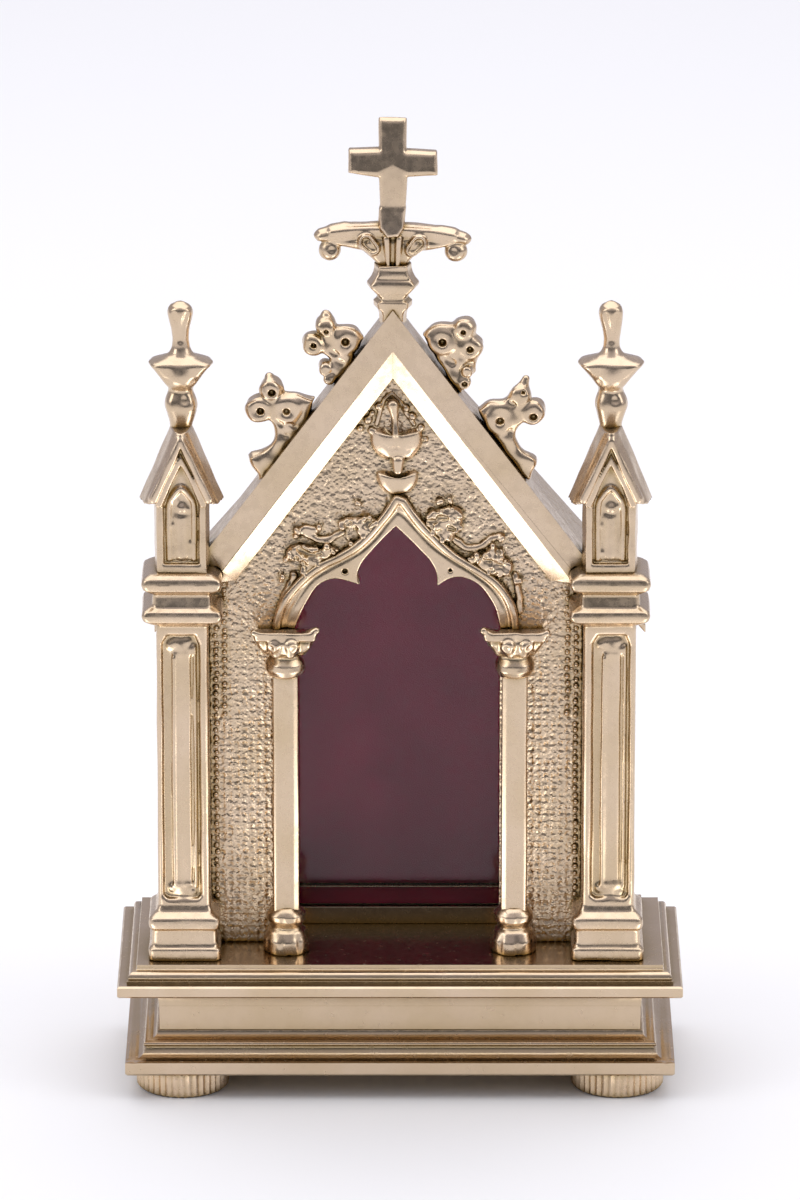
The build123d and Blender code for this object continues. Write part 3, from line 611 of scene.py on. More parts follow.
# ---- crockets
CROCKETS = {
    "left_upper": dict(
        body=[(-7.6, 165.4), (-9.4, 167.6), (-12.2, 168.0), (-15.4, 166.9), (-17.6, 163.6), (-14.8, 161.0),
              (-15.0, 158.6), (-14.4, 155.6), (-11.0, 158.6)],
        lobes=[(-15.5, 168.0, 2.0), (-18.0, 164.1, 2.4), (-11.4, 164.6, 2.9), (-15.6, 158.8, 1.5),
               (-14.6, 156.8, 1.3)],
        tip=(-15.6, 170.0, 1.0),
        dimples=[(-15.4, 167.0, 0.9), (-18.0, 164.1, 0.9), (-11.4, 164.8, 1.2)],
        holes=[(-13.9, 162.4, 0.7), (-12.6, 160.6, 0.6)],
    ),
    "left_lower": dict(
        body=[(-18.0, 152.0), (-21.4, 153.2), (-24.2, 153.0), (-27.8, 153.0), (-29.0, 149.0),
              (-26.4, 146.6), (-26.2, 143.8), (-28.0, 141.2), (-31.6, 139.2), (-29.8, 135.8),
              (-28.6, 134.0), (-20.0, 146.0)],
        lobes=[(-27.0, 154.2, 2.3), (-29.4, 149.8, 2.9), (-23.7, 150.0, 3.2)],
        tip=(-27.4, 156.6, 1.0),
        dimples=[(-26.8, 153.8, 1.1), (-29.2, 149.8, 1.0), (-23.8, 149.6, 1.1)],
        holes=[(-25.4, 147.0, 0.6), (-22.6, 146.6, 0.6), (-24.4, 144.6, 0.5)],
    ),
    "right_upper": dict(
        body=[(4.9, 166.0), (6.6, 167.8), (9.0, 168.6), (11.8, 168.0), (15.6, 166.0), (14.4, 161.0),
              (12.8, 158.6), (13.6, 156.6), (12.6, 153.4), (9.0, 158.6)],
        lobes=[(13.5, 167.4, 2.2), (14.7, 163.4, 2.6), (8.9, 164.8, 3.2), (14.0, 158.2, 1.2),
               (13.4, 155.6, 1.5)],
        tip=(15.4, 158.2, 0.6),
        dimples=[(13.2, 167.0, 0.8), (14.7, 163.2, 1.1), (8.9, 164.6, 1.3), (13.5, 155.6, 0.6)],
        holes=[(10.6, 160.6, 0.7), (8.0, 160.4, 0.5)],
    ),
    "right_lower": dict(
        body=[(16.4, 149.8), (18.8, 151.4), (21.6, 151.8), (23.6, 153.4), (26.6, 152.6), (27.6, 148.6),
              (25.0, 146.4), (24.2, 143.6), (25.6, 141.0), (28.6, 138.9), (28.0, 136.2), (26.0, 135.0),
              (18.0, 146.4)],
        lobes=[(25.2, 152.6, 2.0), (27.9, 149.2, 2.6), (20.9, 147.9, 3.5)],
        tip=(26.4, 156.2, 0.8),
        dimples=[(25.8, 153.8, 0.7), (27.9, 148.4, 1.1), (20.9, 147.5, 1.3)],
        holes=[(23.8, 145.0, 0.6), (23.2, 151.4, 0.6)],
    ),
}


def gable_outer(clay):
    """Distance above the gable's outer line, positive outside."""
    top = span("gable_coping")[1][2]
    return (clay.z + GABLE_SLOPE * np.abs(clay.x - GABLE_X) - top) / math.hypot(1, GABLE_SLOPE)


def make_crocket(name, leaf, seed, material):
    """A cast leaf on the gable's slope: swollen lobes, a drawn-out tip, dimples and small pits."""
    spots = leaf["body"] + [lobe[:2] for lobe in leaf["lobes"]]
    xs = [x for x, _ in spots]
    zs = [z for _, z in spots + [leaf["tip"][:2]]]
    low, high = (min(xs) - 4.2, -3.5, min(zs) - 1.5), (max(xs) + 4.2, 3.5, max(zs) + 3.4)
    clay = Clay(low, high, 0.22, (0, CREST[1]))
    clay.add(clay.plate(loop(leaf["body"]), -1.9, 1.9, 0.8, crown=0.3, reach=1.6))
    for x, z, radius in leaf["lobes"]:
        disc = np.sqrt((clay.x - x) ** 2 + (clay.z - z) ** 2) - radius
        clay.add(clay.plate(disc, -2.4, 2.4, min(1.3, radius * 0.7)), 0.5)
    tip_x, tip_z, tip_radius = leaf["tip"]
    root_x, root_z, root_radius = leaf["lobes"][0]
    clay.add(clay.rod((root_x, 0, root_z), (tip_x, 0, tip_z), min(root_radius, 2.3), tip_radius), 1.3)
    for face in (-1, 1):
        for x, z, radius in leaf["dimples"]:
            clay.cut(clay.rod((x, face * 3.6, z), (x, face * 1.65, z), radius + 0.15, radius * 0.5), 0.5)
        for x, z, radius in leaf["holes"]:
            clay.cut(clay.rod((x - 0.6, face * 2.4, z + 0.3), (x + 0.5, face * 2.2, z - 0.3), radius), 0.5)
    clay.wobble(0.34, 4.0, seed)
    clay.keep(-gable_outer(clay) - 0.3, 0.2)
    cast(clay, f"crocket_{name}", material, f"crocket_{name}")


# ---- front wall
HOOD_OUTER = curve([
    (-26.0, 101.3), (-25.4, 104.6), (-24.0, 108.0), (-21.5, 111.2), (-19.1, 113.5), (-16.4, 115.4),
    (-13.7, 116.7), (-10.9, 118.3), (-8.8, 119.8), (-6.7, 121.8), (-4.6, 124.3), (-2.5, 127.1),
    (-0.7, 130.0), (0.7, 129.4), (2.7, 126.5), (4.8, 123.8), (6.9, 121.6), (9.0, 119.4), (11.6, 117.2),
    (14.3, 115.4), (16.9, 113.8), (19.4, 112.1), (21.5, 109.8), (23.1, 107.2), (24.0, 104.2),
    (24.3, 101.3),
], [(-0.7, 130.0), (0.7, 129.4)], 3)
HOOD_GROOVE = curve([
    (-24.2, 101.3), (-23.6, 103.6), (-22.6, 106.0), (-20.6, 109.4), (-18.3, 112.3), (-14.9, 114.6),
    (-10.7, 116.9), (-8.1, 118.6), (-5.2, 121.4), (-2.6, 124.8), (-0.6, 127.2), (1.0, 126.2),
    (3.4, 123.4), (6.6, 119.9), (10.5, 116.8), (14.7, 114.1), (18.8, 110.9), (21.2, 107.8),
    (22.4, 104.8), (22.7, 101.3),
], [(-0.6, 127.2)], 3)
TREFOIL = curve([
    (-22.2, 101.3), (-20.7, 105.1), (-19.0, 108.5), (-16.9, 111.1), (-13.7, 112.3), (-10.5, 111.6),
    (-8.4, 110.7), (-8.9, 113.1), (-8.0, 115.8), (-6.3, 118.0), (-4.2, 120.5), (-0.9, 123.9),
    (1.1, 121.9), (4.2, 118.7), (6.3, 116.3), (7.6, 113.6), (7.8, 110.7), (9.9, 112.0), (12.4, 112.7),
    (15.2, 111.8), (17.3, 110.3), (19.0, 107.8), (20.3, 105.1), (21.1, 101.3),
], [(-8.4, 110.7), (-0.9, 123.9), (7.8, 110.7)], 3)


def cut_opening(clay, foot, front, back, blend):
    """Cut the trefoil arch and the opening below it through a clay wall."""
    opening = TREFOIL + [(TREFOIL[-1][0], foot), (TREFOIL[0][0], foot)]
    clay.cut(clay.plate(opening, front, back, 0.05), blend)


def scatter(low, high, pitch, seed, stagger=False, jitter=0.5):
    """Seeded points over an area in X and Z, about one pitch apart."""
    rng = np.random.default_rng(seed)
    points, row, z = [], 0, low[1]
    while z < high[1]:
        x = low[0] + (pitch / 2 if stagger and row % 2 else 0)
        while x < high[0]:
            dx, dz = rng.uniform(-jitter, jitter, 2) * pitch
            points.append((x + dx, z + dz, rng.uniform(0.75, 1.2)))
            x += pitch
        z += pitch * (0.5 if stagger else 0.9)
        row += 1
    return points


def stipple(clay, relief, points, radius, height, tall=1.0):
    """Press round marks into a relief map of the front, up or down by height."""
    xs, zs = clay.x.ravel(), clay.z.ravel()
    for px, pz, scale in points:
        size = radius * scale
        i0, i1 = np.searchsorted(xs, (px - size, px + size))
        k0, k1 = np.searchsorted(zs, (pz - size * tall, pz + size * tall))
        if i1 > i0 and k1 > k0:
            away = ((xs[i0:i1, None] - px) / size) ** 2 + ((zs[None, k0:k1] - pz) / (size * tall)) ** 2
            mark = height * np.clip(1 - away, 0, 1) * scale
            window = relief[i0:i1, k0:k1]
            stronger = np.maximum if height > 0 else np.minimum
            relief[i0:i1, k0:k1] = stronger(window, mark)


def facade_relief(clay, left, right, top):
    """Height of the ground over the front: pebbles in the gable, rows of small pits below."""
    gable = np.zeros((clay.x.size, clay.z.size), np.float32)
    below = np.zeros_like(gable)
    stipple(clay, gable, scatter((left, 96), (right, top), 0.95, 21), 0.58, 0.22)
    stipple(clay, below, scatter((left, 30), (right, 104), 1.3, 22, True), 0.7, 0.05, 1.1)
    stipple(clay, below, scatter((left + 0.9, 30.5), (right, 104), 1.6, 23, jitter=0.13), 0.5, -0.26)
    share = np.clip((clay.z.ravel() - 88) / 18, 0, 1)[None, :]
    return gable * share + below * (1 - share)


def make_beads(material):
    """Columns of small beads that edge the front wall beside the piers."""
    rng = np.random.default_rng(24)
    work = bmesh.new()
    rows = [(1.35, z) for z in np.arange(34.5, 104, 1.62)] + [(3.2, z) for z in np.arange(82, 111, 1.7)]
    for edge, sign in ((WALL_LOW[0], 1), (WALL_HIGH[0], -1)):
        for off, z in rows:
            size = rng.uniform(0.5, 0.68)
            place = (edge + sign * (off + rng.normal() * 0.08), WALL - 0.12, z + rng.normal() * 0.12)
            matrix = Matrix.Translation(Vector(place) * MM)
            bmesh.ops.create_icosphere(work, subdivisions=2, radius=size * MM, matrix=matrix)
    for face in work.faces:
        face.smooth = True
    mesh = bpy.data.meshes.new("bead_columns")
    work.to_mesh(mesh)
    work.free()
    piece(mesh, material)


def make_facade(material):
    """The front wall with its stippled ground and trefoil opening."""
    (left, _, bottom), (right, back, top) = WALL_LOW, WALL_HIGH
    thick = back - WALL
    foot = span("gable_coping")[0][2] + 0.4
    apex = top + 1.3
    reach = (apex - foot + 0.4) / GABLE_SLOPE
    clay = Clay((left - 0.6, -1.3, bottom - 0.6), (right + 0.6, thick + 0.6, apex + 0.6), 0.32, (0, WALL))
    outline = [
        (left, bottom), (right, bottom), (right, foot), (GABLE_X + reach, foot), (GABLE_X, apex),
        (GABLE_X - reach, foot), (left, foot),
    ]
    relief = facade_relief(clay, left, right, apex)[:, None, :]
    deep = np.maximum(-relief - clay.y, clay.y - thick)
    clay.field = np.maximum(deep, clay.inside(outline)).astype(np.float32)
    cut_opening(clay, 20, -2, thick + 2, 0.1)
    mesh = clay.mesh("facade_casting")
    flatten_back(mesh, back)
    piece(mesh, material, ["facade_panel"])


def flatten_back(mesh, back):
    """Merge the many faces of a flat back into a few."""
    work = bmesh.new()
    work.from_mesh(mesh)
    rear = [v for v in work.verts if v.co.y > (back - 0.06) * MM]
    marked = set(rear)
    edges = [e for e in work.edges if e.verts[0] in marked and e.verts[1] in marked]
    bmesh.ops.dissolve_limit(work, angle_limit=0.05, use_dissolve_boundaries=False, verts=rear, edges=edges)
    work.to_mesh(mesh)
    work.free()


def make_hood(material):
    """Ogee hood: a bead and a hollow round the trefoil, with flat spandrels between the cusps."""
    front = span("arch_hood")[0][1] - WALL
    clay = Clay((-28, front - 1.4, 100.6), (26.5, 0.5, 132), 0.24, (0, WALL))
    clay.add(clay.plate(HOOD_OUTER + TREFOIL[::-1], front + 0.55, 0.3, 0.3))
    clay.add(clay.cord(HOOD_OUTER, front + 0.75, 0.95), 0.3)
    clay.cut(clay.cord(HOOD_GROOVE, front + 0.35, 0.42), 0.2)
    cut_opening(clay, 90, front - 3, 3, 0.25)
    for x, z, radius in ((-11.6, 114.0, 0.8), (10.6, 114.2, 0.5)):
        clay.cut(clay.rod((x, front - 1, z), (x, 0, z), radius, radius * 0.6), 0.3)
    clay.wobble(0.10, 6, 31)
    clay.trim(101.2, 140, 0.2)
    cast(clay, "hood", material, "arch_hood")


def make_fleuron(material):
    """Bud and two flat bowls, one above the other, with a small arch and a trail of beads."""
    clay = Clay((-11, -3.6, 129.2), (9, 0.4, 154), 0.22, (0, WALL))
    for x, z, radius, rim in ((-0.7, 143.3, 5.5, 145.2), (-0.6, 134.9, 4.4, 135.7)):
        bevel = (clay.z - rim - 0.6 * clay.y - 0.4) * 0.86
        clay.add(-melt(-clay.ball((x, 0, z), radius, 0.44), -bevel, 0.3), 0.3)
        clay.cut(clay.ball((x, -0.9, rim + 1.4), radius * 0.62, 0.4), 0.3)
    clay.add(clay.rod((-1.5, -1.6, 150.9), (-1.0, -1.7, 147.6), 1.35, 0.55), 0.3)
    clay.add(clay.rod((-1.0, -1.7, 147.6), (-0.9, -1.9, 144.6), 0.55, 0.8), 0.3)
    clay.add(clay.rod((-0.4, -1.2, 138.5), (-0.4, -1.4, 136.4), 1.3, 1.0), 0.3)
    crescent = [(-3.6, 142.3), (-2.2, 141.2), (-0.8, 141.6), (0.8, 140.9), (2.6, 142.0)]
    clay.cut(clay.cord(crescent, -2.6, 0.45), 0.4)
    clay.cut(clay.ball((1.8, -2.5, 140.6), 0.7), 0.4)
    arch = [
        (-4.9, 146.2), (-4.2, 149.0), (-3.3, 151.6), (-1.7, 153.0), (-0.1, 151.2), (1.3, 148.6),
        (2.9, 146.2),
    ]
    clay.add(clay.cord(arch, 0, 0.55), 0.3)
    beads = [
        (-4.6, 150.2, 0.8), (1.3, 149.8, 0.8), (-6.7, 147.3, 1.0), (4.4, 145.6, 0.8), (-8.4, 145.4, 0.8),
        (-5.9, 148.7, 0.7), (2.7, 148.0, 0.9), (-6.0, 144.9, 0.8), (3.9, 143.9, 0.6), (5.4, 143.0, 0.6),
    ]
    for x, z, radius in beads:
        clay.add(clay.ball((x, -0.2, z), radius), 0.3)
    clay.wobble(0.10, 4, 32)
    clay.trim(120, 160, 0.15)
    cast(clay, "fleuron", material, "hood_fleuron")


LEAVES = {
    "left": dict(
        seed=33,
        reach=(-27.5, -3.5),
        leaves=[
            [(-12.5, 125.3), (-10.9, 126.0), (-8.5, 125.9), (-6.2, 126.0), (-4.4, 125.0), (-5.8, 122.4),
             (-8.0, 121.4), (-8.6, 123.3), (-10.6, 123.6), (-12.2, 124.0)],
            [(-24.1, 118.3), (-22.8, 119.7), (-20.4, 120.0), (-18.3, 119.5), (-16.7, 119.0), (-14.6, 119.5),
             (-12.6, 118.4), (-16.5, 115.6), (-19.4, 113.2), (-21.2, 113.7), (-20.6, 116.3), (-22.1, 117.4),
             (-22.9, 116.2), (-23.9, 116.8)],
        ],
        ribs=[[(-20.6, 123.0), (-18.3, 121.2), (-15.5, 120.7), (-12.2, 122.5)],
              [(-22.3, 113.0), (-24.3, 108.4), (-25.6, 104.6)],
              [(-21.8, 121.6), (-20.0, 123.2), (-17.6, 122.8)]],
        beads=[(-12.0, 124.6, 0.7), (-7.6, 122.8, 1.0), (-8.8, 129.0, 0.6), (-21.9, 118.4, 0.9),
               (-15.4, 118.7, 0.8), (-23.7, 116.9, 0.7), (-10.2, 119.9, 0.6), (-21.7, 122.9, 0.7),
               (-17.0, 123.6, 0.6), (-24.9, 112.4, 0.7)],
        holes=[(-10.9, 124.7, 0.45), (-20.3, 118.5, 0.8), (-18.8, 118.1, 0.7), (-17.3, 118.2, 0.5),
               (-6.6, 124.6, 0.35), (-18.9, 121.8, 0.9)],
    ),
    "right": dict(
        seed=34,
        reach=(3.5, 26.8),
        leaves=[
            [(5.4, 126.1), (6.8, 127.3), (8.9, 128.1), (11.0, 128.6), (12.8, 127.7), (13.4, 126.0),
             (13.0, 124.0), (12.1, 122.3), (10.8, 120.9), (8.6, 120.4), (6.6, 122.4), (5.2, 124.4)],
            [(14.0, 116.4), (15.4, 117.9), (17.6, 118.0), (19.4, 119.8), (21.0, 118.9), (21.8, 117.1),
             (23.3, 116.3), (23.5, 114.0), (21.7, 112.4), (18.4, 113.2)],
        ],
        ribs=[[(11.6, 120.8), (13.3, 119.3), (15.9, 118.9), (17.9, 119.7), (19.3, 121.0), (21.4, 121.5)],
              [(24.2, 113.0), (25.0, 109.0), (25.2, 105.0)]],
        beads=[(8.4, 129.3, 0.7), (10.6, 129.6, 0.6), (7.1, 126.4, 0.8), (12.2, 124.1, 0.8),
               (11.9, 126.6, 0.8), (9.3, 124.6, 0.7), (14.9, 115.8, 0.6), (19.8, 118.0, 1.0),
               (23.0, 115.0, 0.8), (17.0, 116.4, 0.7), (21.4, 121.2, 0.6), (10.0, 121.8, 0.8),
               (24.9, 111.8, 0.7)],
        holes=[(6.8, 125.2, 0.6), (9.0, 126.0, 0.7), (10.9, 123.6, 0.6), (4.4, 127.2, 0.5),
               (18.4, 116.5, 0.5), (8.2, 123.0, 0.4), (20.8, 115.6, 0.5)],
    ),
}


def lump_leaf(clay, outline, rng):
    """Worn lumps between a leaf's heart and its corners, with pits among them."""
    heart = np.mean(outline, axis=0)
    for corner in outline:
        spoke = np.array(corner) - heart
        for share in (0.45, 0.85):
            x, z = heart + share * spoke + rng.normal(size=2) * 0.3
            clay.add(clay.ball((x, -1.5, z), rng.uniform(0.45, 0.8)), 0.35)
        x, z = heart + 0.65 * spoke + rng.normal(size=2) * 0.6
        clay.cut(clay.ball((x, -2.1, z), rng.uniform(0.35, 0.6)), 0.35)


def make_leaves(side, material):
    """Worn vine leaves above one haunch of the hood."""
    shapes = LEAVES[side]
    left, right = shapes["reach"]
    clay = Clay((left, -3.2, 102.5), (right, 0.4, 131), 0.24, (0, WALL))
    for outline in shapes["leaves"]:
        clay.add(clay.plate(loop(outline), -1.8, 0.2, 0.5, crown=0.8, reach=1.7), 0.3)
    for line in shapes["ribs"]:
        clay.add(clay.cord(curve(line), -0.2, 0.85), 0.6)
    rng = np.random.default_rng(shapes["seed"])
    for outline in shapes["leaves"]:
        lump_leaf(clay, outline, rng)
    for x, z, radius in shapes["beads"]:
        turn = rng.uniform(0, math.pi)
        dx, dz = 0.6 * radius * math.cos(turn), 0.6 * radius * math.sin(turn)
        clay.add(clay.rod((x - dx, -0.9, z - dz), (x + dx, -1.2, z + dz), radius * 0.9), 0.45)
    for x, z, radius in shapes["holes"]:
        turn = rng.uniform(-0.6, 0.9)
        dx, dz = 1.1 * radius * math.cos(turn), 1.1 * radius * math.sin(turn)
        clay.cut(clay.rod((x - dx, -2.0, z - dz), (x + dx, -1.8, z + dz), radius, radius * 0.8), 0.3)
    clay.wobble(0.2, 2.4, shapes["seed"])
    clay.trim(100, 140, 0.15)
    cast(clay, f"leaves_{side}", material, f"hood_leaves_{side}")


# ---- piers and turrets
PIER_STEPS = [
    (30.2, 7.65), (32.7, 7.65), (33.2, 7.1), (33.9, 6.95), (36.9, 6.9), (37.3, 7.4), (38.3, 7.6),
    (39.5, 7.45), (40.0, 6.9), (40.8, 6.0), (42.0, 5.6), (104.6, 5.5), (105.1, 6.9, 6.4),
    (105.9, 8.2, 7.3), (107.0, 8.6, 7.6), (108.1, 8.3, 7.4), (108.9, 7.0, 6.5), (109.2, 6.3, 6.4),
    (111.6, 6.2, 5.95), (112.0, 7.0, 6.4), (112.8, 8.2, 7.3), (114.0, 8.6, 7.6), (115.2, 8.3, 7.4),
    (116.1, 7.0, 6.6), (116.6, 5.5), (117.4, 5.3),
]


def make_pier(side, sign, material):
    """A pier with a sunk panel, a raised rib and worn leaf-work at the rib's ends."""
    x, y = PIER_AT[side]
    back = WALL_HIGH[1] - y
    clay = Clay((-9.2, -8.2, 29.8), (9.2, back + 0.4, 117.2), 0.3, (x, y))
    clay.add(clay.moulding(PIER_STEPS, 1.3))
    clay.trim(30.2, 116.4, back, 0.1)
    face = -5.5
    mid = 0.35 * sign
    sunk = [
        (mid - 3.9, 44.4), (mid - 3.0, 43.6), (mid + 3.2, 43.6), (mid + 3.9, 44.4), (mid + 3.9, 100.2),
        (mid + 3.0, 102.4), (mid - 2.8, 102.4), (mid - 3.9, 100.6),
    ]
    clay.cut(clay.plate(sunk, face - 2, face + 1.35, 0.5), 1.1)
    rib = [(mid - 1.5, 46.2), (mid + 1.9, 46.2), (mid + 1.9, 98.2), (mid - 1.5, 98.2)]
    clay.add(clay.plate(rib, face + 0.75, face + 1.9, 0.3), 0.6)
    clay.add(clay.cord([(mid - 1.55, 46.6), (mid - 1.6, 70), (mid - 1.45, 97.2)], face + 0.85, 0.45), 0.3)
    clay.add(clay.cord([(mid + 2.9, 46.0), (mid + 2.95, 75), (mid + 2.9, 99.8)], face + 1.2, 0.35), 0.3)
    for z in (99.4, 45.0):
        clay.add(clay.ball((mid + 0.2, face + 1.8, z), 1.6, 0.7), 1.4)
        for dx, dz in ((-2.2, 0.6), (2.1, -0.4), (-1.0, 1.2), (1.2, 1.4)):
            clay.add(clay.ball((mid + dx, face + 1.6, z + dz), 0.7), 0.9)
    clay.wobble(0.14, 11, 43 + sign)
    edge = (WALL_LOW if side == "left" else WALL_HIGH)[0] - x
    slot = sorted((edge, edge - 20 * sign))
    clay.cut(clay.brick((slot[0], WALL - y, 0), (slot[1], 40, 200), 0.02), 0.05)
    cast(clay, f"pier_{side}", material, f"pier_{side}")


def make_turret(side, sign, material):
    """Turret over a pier: a drafted steep gable with a raised rim, and a worn niche below it."""
    eave, neck, base = 132.8, 147.1, 116.2
    clay = Clay((-9, -7.6, base - 0.6), (9, 7.6, neck + 0.9), 0.25, PIER_AT[side])
    across, along = np.abs(clay.x), np.abs(clay.y)
    shaft = np.maximum(across + 0.12 * along - 5.7, along - 5.4)
    clay.add(np.maximum(shaft, np.maximum(base - clay.z, clay.z - eave - 1)) - 0.1, 0.2)
    slope = 0.913 * (across - 8.0) + 0.16 * along + 0.377 * (clay.z - eave)
    ends = np.maximum(eave - 0.25 * across - clay.z + 0.9, clay.z - neck)
    clay.add(np.maximum(-melt(-slope, 6.75 - along, 2.6), ends) - 0.25, 0.25)
    face = -6.9
    clay.cut(clay.plate([(-5.4, eave - 1), (0, 144.9), (5.4, eave - 1)], face - 1, face + 0.95, 0.05), 0.3)
    chevron = [
        (0, 142.7), (5.3, eave - 0.3), (5.3, eave - 1.6), (4.2, eave - 1.8), (0, 140.0), (-4.2, eave - 1.8),
        (-5.3, eave - 1.6), (-5.3, eave - 0.3),
    ]
    clay.add(clay.plate(chevron, face + 0.35, face + 2.5, 0.2), 0.2)
    clay.add(clay.cord([(-5.9, eave + 0.2), (0, 145.7), (5.9, eave + 0.2)], face + 0.5, 0.8), 0.5)
    carve_niche(clay, -5.4, np.random.default_rng(51 + sign))
    clay.wobble(0.14, 7, 53 + sign)
    cast(clay, f"turret_{side}", material, f"pinnacle_{side}")


def carve_niche(clay, face, rng):
    """A pointed niche with a raised arch and a plain worn shape standing in it."""
    niche = [
        (-3.7, 118.3), (3.7, 118.3), (3.7, 131.0), (2.2, 135.6), (0, 140.0), (-2.2, 135.6),
        (-3.7, 131.0),
    ]
    clay.cut(clay.plate(niche, face - 2, face + 1.15, 0.4), 0.7)
    arch = [(-2.6, 119.2), (-2.7, 130.2), (-1.7, 133.0), (0, 134.7), (1.7, 133.0), (2.7, 130.2), (2.6, 119.2)]
    clay.add(clay.cord(curve(arch), face + 1.15, 0.6), 0.5)
    clay.add(clay.rod((0.1, face + 1.9, 120.2), (-0.1, face + 1.6, 128.0), 1.5, 1.0), 1.2)
    clay.add(clay.ball((0.1, face + 1.4, 130.3), 0.9), 0.9)
    for _ in range(5):
        spot = (rng.uniform(-2.2, 2.2), face + 1.5, rng.uniform(119.5, 132))
        clay.add(clay.ball(spot, rng.uniform(0.4, 0.6), 0.9), 0.6)


FINIAL_STEPS = [
    (146.2, 2.3, 2.2), (147.6, 2.35, 2.3), (149.4, 2.9, 2.7), (151.6, 3.5, 3.2), (152.9, 3.3, 3.1),
    (155.0, 2.5, 2.4), (155.6, 2.6, 2.5), (156.8, 3.6, 3.1), (158.4, 4.9, 3.7), (160.3, 6.4, 4.0),
    (161.2, 7.2, 4.0), (161.7, 6.2, 3.6), (162.2, 3.6, 2.8), (163.0, 2.5, 2.3), (164.2, 1.9, 1.8),
    (166.0, 1.7), (168.4, 2.0), (170.6, 2.5, 2.4), (172.0, 2.7, 2.6), (173.2, 2.3), (173.9, 1.5),
    (174.2, 0.5),
]


def make_finial(side, sign, material):
    """Knop, flaring leaf cup and bud, cast in one with soft facets."""
    clay = Clay((-8, -6.6, 145.6), (8, 6.6, 175.4), 0.24, PIER_AT[side])
    clay.add(clay.moulding(FINIAL_STEPS, 1.6, 0.22, 0.45), 0.1)
    for face in (-1, 1):
        for dx in (-2.1, 2.1):
            clay.cut(clay.ball((dx * 1.3, face * 4.1, 157.2), 1.25), 0.8)
            clay.cut(clay.rod((0, face * 1.9, 166.0), (dx * 0.7, face * 2.6, 172.0), 0.4, 0.6), 0.5)
        clay.cut(clay.ball((0.9, face * 3.7, 153.6), 1.2), 0.4)
        clay.add(clay.ball((0, face * 1.4, 158.6), 2.9), 1.2)
    clay.wobble(0.3, 6, 61 + sign)
    cast(clay, f"finial_{side}", material, f"pinnacle_finial_{side}")


# ---- colonnettes
def make_capital(side, sign, material):
    """Ring, lobed leaves and a cushion with turned-up corners."""
    x, y, _ = middle(f"colonnette_shaft_{side}")
    clay = Clay((-8, -6.2, 91), (8, WALL - y + 0.3, 105.2), 0.24, (x, y))
    steps = [
        (91.6, 2.7), (92.4, 3.7), (93.6, 4.3), (94.9, 4.2), (96.1, 3.4), (96.8, 3.3), (98.0, 4.6),
        (100.2, 5.1), (101.6, 4.6),
    ]
    clay.add(clay.turning(steps), 0.1)
    for index in range(8):
        angle = math.radians(45 * index + 22.5 + 6 * sign)
        out_x, out_y = math.cos(angle), math.sin(angle)
        foot, tip = (3.9 * out_x, 3.9 * out_y, 98.0), (4.8 * out_x, 4.5 * out_y, 99.9)
        clay.add(clay.rod(foot, tip, 1.2, 1.7), 0.4)
        clay.cut(clay.ball((6.9 * out_x, 6.5 * out_y, 99.4), 0.9), 0.5)
    clay.add(clay.brick((-6.6, -5.0, 100.6), (6.6, 4.5, 103.2), 0.8), 0.3)
    clay.cut(0.22 * (-4.9 - clay.y) + 102.9 - clay.z, 0.6)
    for dx in (-1, 1):
        lift = 0.7 if dx == -sign else 0.2
        clay.add(clay.rod((dx * 5.0, -3.4, 102.0), (dx * 6.6, -4.4, 102.5 + lift), 1.0, 0.75), 0.5)
    clay.wobble(0.22, 4, 71 + sign)
    clay.trim(91.9, 110, WALL - y + 0.1)
    cast(clay, f"capital_{side}", material, f"colonnette_capital_{side}")


def make_column_base(side, sign, material):
    """Bell and ring at a colonnette's foot, with pressed hollows round both."""
    x, y, _ = middle(f"colonnette_shaft_{side}")
    clay = Clay((-6.5, -6.5, 29.8), (6.5, WALL - y + 0.3, 41), 0.24, (x, y))
    steps = [
        (30.2, 4.9), (31.3, 5.0), (33.0, 4.9), (34.8, 4.1), (35.6, 3.3), (36.2, 3.5), (37.3, 4.2),
        (38.5, 4.2), (39.5, 3.5), (40.2, 2.8),
    ]
    clay.add(clay.turning(steps), 0.1)
    for index in range(8):
        angle = math.radians(45 * index + 10 * sign)
        out_x, out_y = math.cos(angle), math.sin(angle)
        clay.cut(clay.rod((4.7 * out_x, 4.7 * out_y, 36.8), (5.0 * out_x, 5.0 * out_y, 38.8), 0.6), 0.5)
        clay.cut(clay.rod((5.6 * out_x, 5.6 * out_y, 31), (5.2 * out_x, 5.2 * out_y, 34.4), 0.6), 0.6)
    clay.wobble(0.2, 4, 81 + sign)
    clay.trim(30.2, 50, WALL - y + 0.1)
    cast(clay, f"column_base_{side}", material, f"colonnette_base_{side}")


def make_shaft(side, sign, material):
    """Square shaft with a broad polished chamfer towards the opening and a lesser one outside."""
    low, high = span(f"colonnette_shaft_{side}")
    x, y, _ = (low + high) / 2
    clay = Clay((-3.8, -3.6, low[2] - 0.6), (3.8, 3.6, high[2] + 0.9), 0.25, (x, y))
    steps = [
        (low[2] - 0.2, 2.8, 2.5), (70, 2.75, 2.5), (high[2] + 0.4, 2.7, 2.5),
    ]
    clay.add(clay.moulding(steps, 0.5), 0.1)
    clay.cut(2.95 + 0.5 * sign * clay.x + 0.866 * clay.y, 0.2)
    clay.cut(3.35 - 0.62 * sign * clay.x + 0.785 * clay.y, 0.2)
    clay.wobble(0.08, 14, 91 + sign)
    cast(clay, f"shaft_{side}", material, f"colonnette_shaft_{side}")


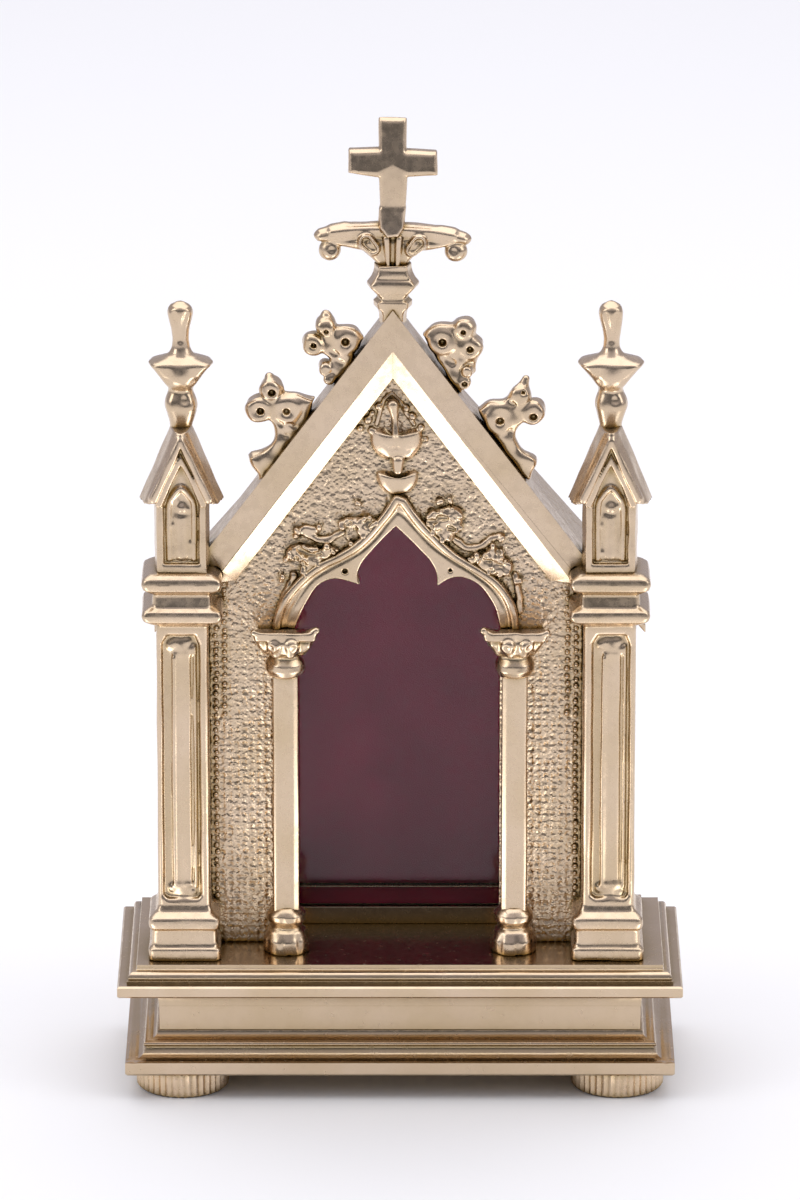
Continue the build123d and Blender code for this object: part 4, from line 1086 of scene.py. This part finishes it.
# ---- velvet
def cloth(name, node, normal, material, body="shrine"):
    """A piece of velvet stretched over the box of a lining, a little uneven where it is glued."""
    low, high = span(node)
    axis = "xyz".index(normal)
    u, v = [a for a in range(3) if a != axis]
    size = high - low
    nu, nv = int(size[u] / 1.2) + 1, int(size[v] / 1.2) + 1
    turn_u, turn_v, turn_both = np.random.default_rng(len(name) * 7).uniform(0, 6.28, 3)
    verts = []
    for i in range(nu + 1):
        for j in range(nv + 1):
            s, t = i / nu, j / nv
            edge = min(s, 1 - s, t, 1 - t)
            swell = math.sin(5.1 * s + turn_u) * math.sin(4.3 * t + turn_v)
            swell += 0.4 * math.sin(13 * s + 9 * t + turn_both)
            point = (low + high) / 2
            point[u] = low[u] + s * size[u]
            point[v] = low[v] + t * size[v]
            point[axis] += 0.125 * swell * min(1, edge * 8)
            verts.append(point * MM)
    corners = [i * (nv + 1) + j for i in range(nu) for j in range(nv)]
    faces = [(a, a + nv + 1, a + nv + 2, a + 1) for a in corners]
    mesh = bpy.data.meshes.new(name)
    mesh.from_pydata(verts, [], faces)
    mesh.polygons.foreach_set("use_smooth", [True] * len(faces))
    obj = piece(mesh, material, [node], body)
    thick = obj.modifiers.new("pile", "SOLIDIFY")
    thick.thickness = 0.8 * MM
    thick.offset = 0


def make_velvet(material):
    """The linings of the niche and of the door."""
    cloth("velvet_floor", "niche_floor_lining", "z", material)
    cloth("velvet_ceiling", "niche_ceiling_lining", "z", material)
    for side, _ in SIDES:
        lining, channel = f"niche_side_lining_{side}", f"glass_channel_{side}"
        cloth(f"velvet_side_{side}", lining, "x", material)
    cloth("velvet_door", "door_lining", "y", material, "door")


# ---- the CAD nodes' finish
SOFT_EDGES = {"base_deck": 0.6, "base_plinth": 0.8, "gable_coping": 0.9}


def finish_nodes(cast_brass):
    """Give every CAD node its material, and all but the pane worn edges."""
    glass = clear_glass()
    finishes = {
        # Base: the painted shade reaches 7 mm, so the plinth darkens under the slab's overhang.
        "base": brass("base_brass", reach=7, wave=0.35),
        # Painted shade: the glass channels and rail use the brass darkened to 0.3 of its colour.
        "glass_": brass("dark_brass_painted_shade", shade=0.3, reach=4),
        # Painted light: the feet's brass is brightened 1.3 times, where they stand in the plinth's shadow.
        "foot": brass("feet_brass_painted_light", roughness=0.25, shade=1.3),
        "window_glass": glass,
    }
    for name, obj in NODES.items():
        material = next((finish for start, finish in finishes.items() if name.startswith(start)), cast_brass)
        obj.data.materials.clear()
        obj.data.materials.append(material)
        if material is not glass:
            soften(name, SOFT_EDGES.get(name, 0.3) * MM)


# ---- main
def main():
    """Set the studio up, model every piece and finish the CAD nodes."""
    make_camera()
    make_studio()
    cast_brass = brass("cast_brass", roughness=0.25)
    stippled_brass = brass("stippled_brass", roughness=0.28, reach=1.2, pebble=0.45)
    make_cross(cast_brass)
    make_bracket(cast_brass)
    make_knop(cast_brass)
    for number, (name, leaf) in enumerate(CROCKETS.items()):
        make_crocket(name, leaf, 10 + number, cast_brass)
    make_facade(stippled_brass)
    make_beads(cast_brass)
    make_hood(cast_brass)
    make_fleuron(cast_brass)
    for side, sign in SIDES:
        make_leaves(side, cast_brass)
        for make in (make_pier, make_turret, make_finial, make_capital, make_column_base, make_shaft):
            make(side, sign, cast_brass)
    make_velvet(velvet())
    finish_nodes(cast_brass)


main()
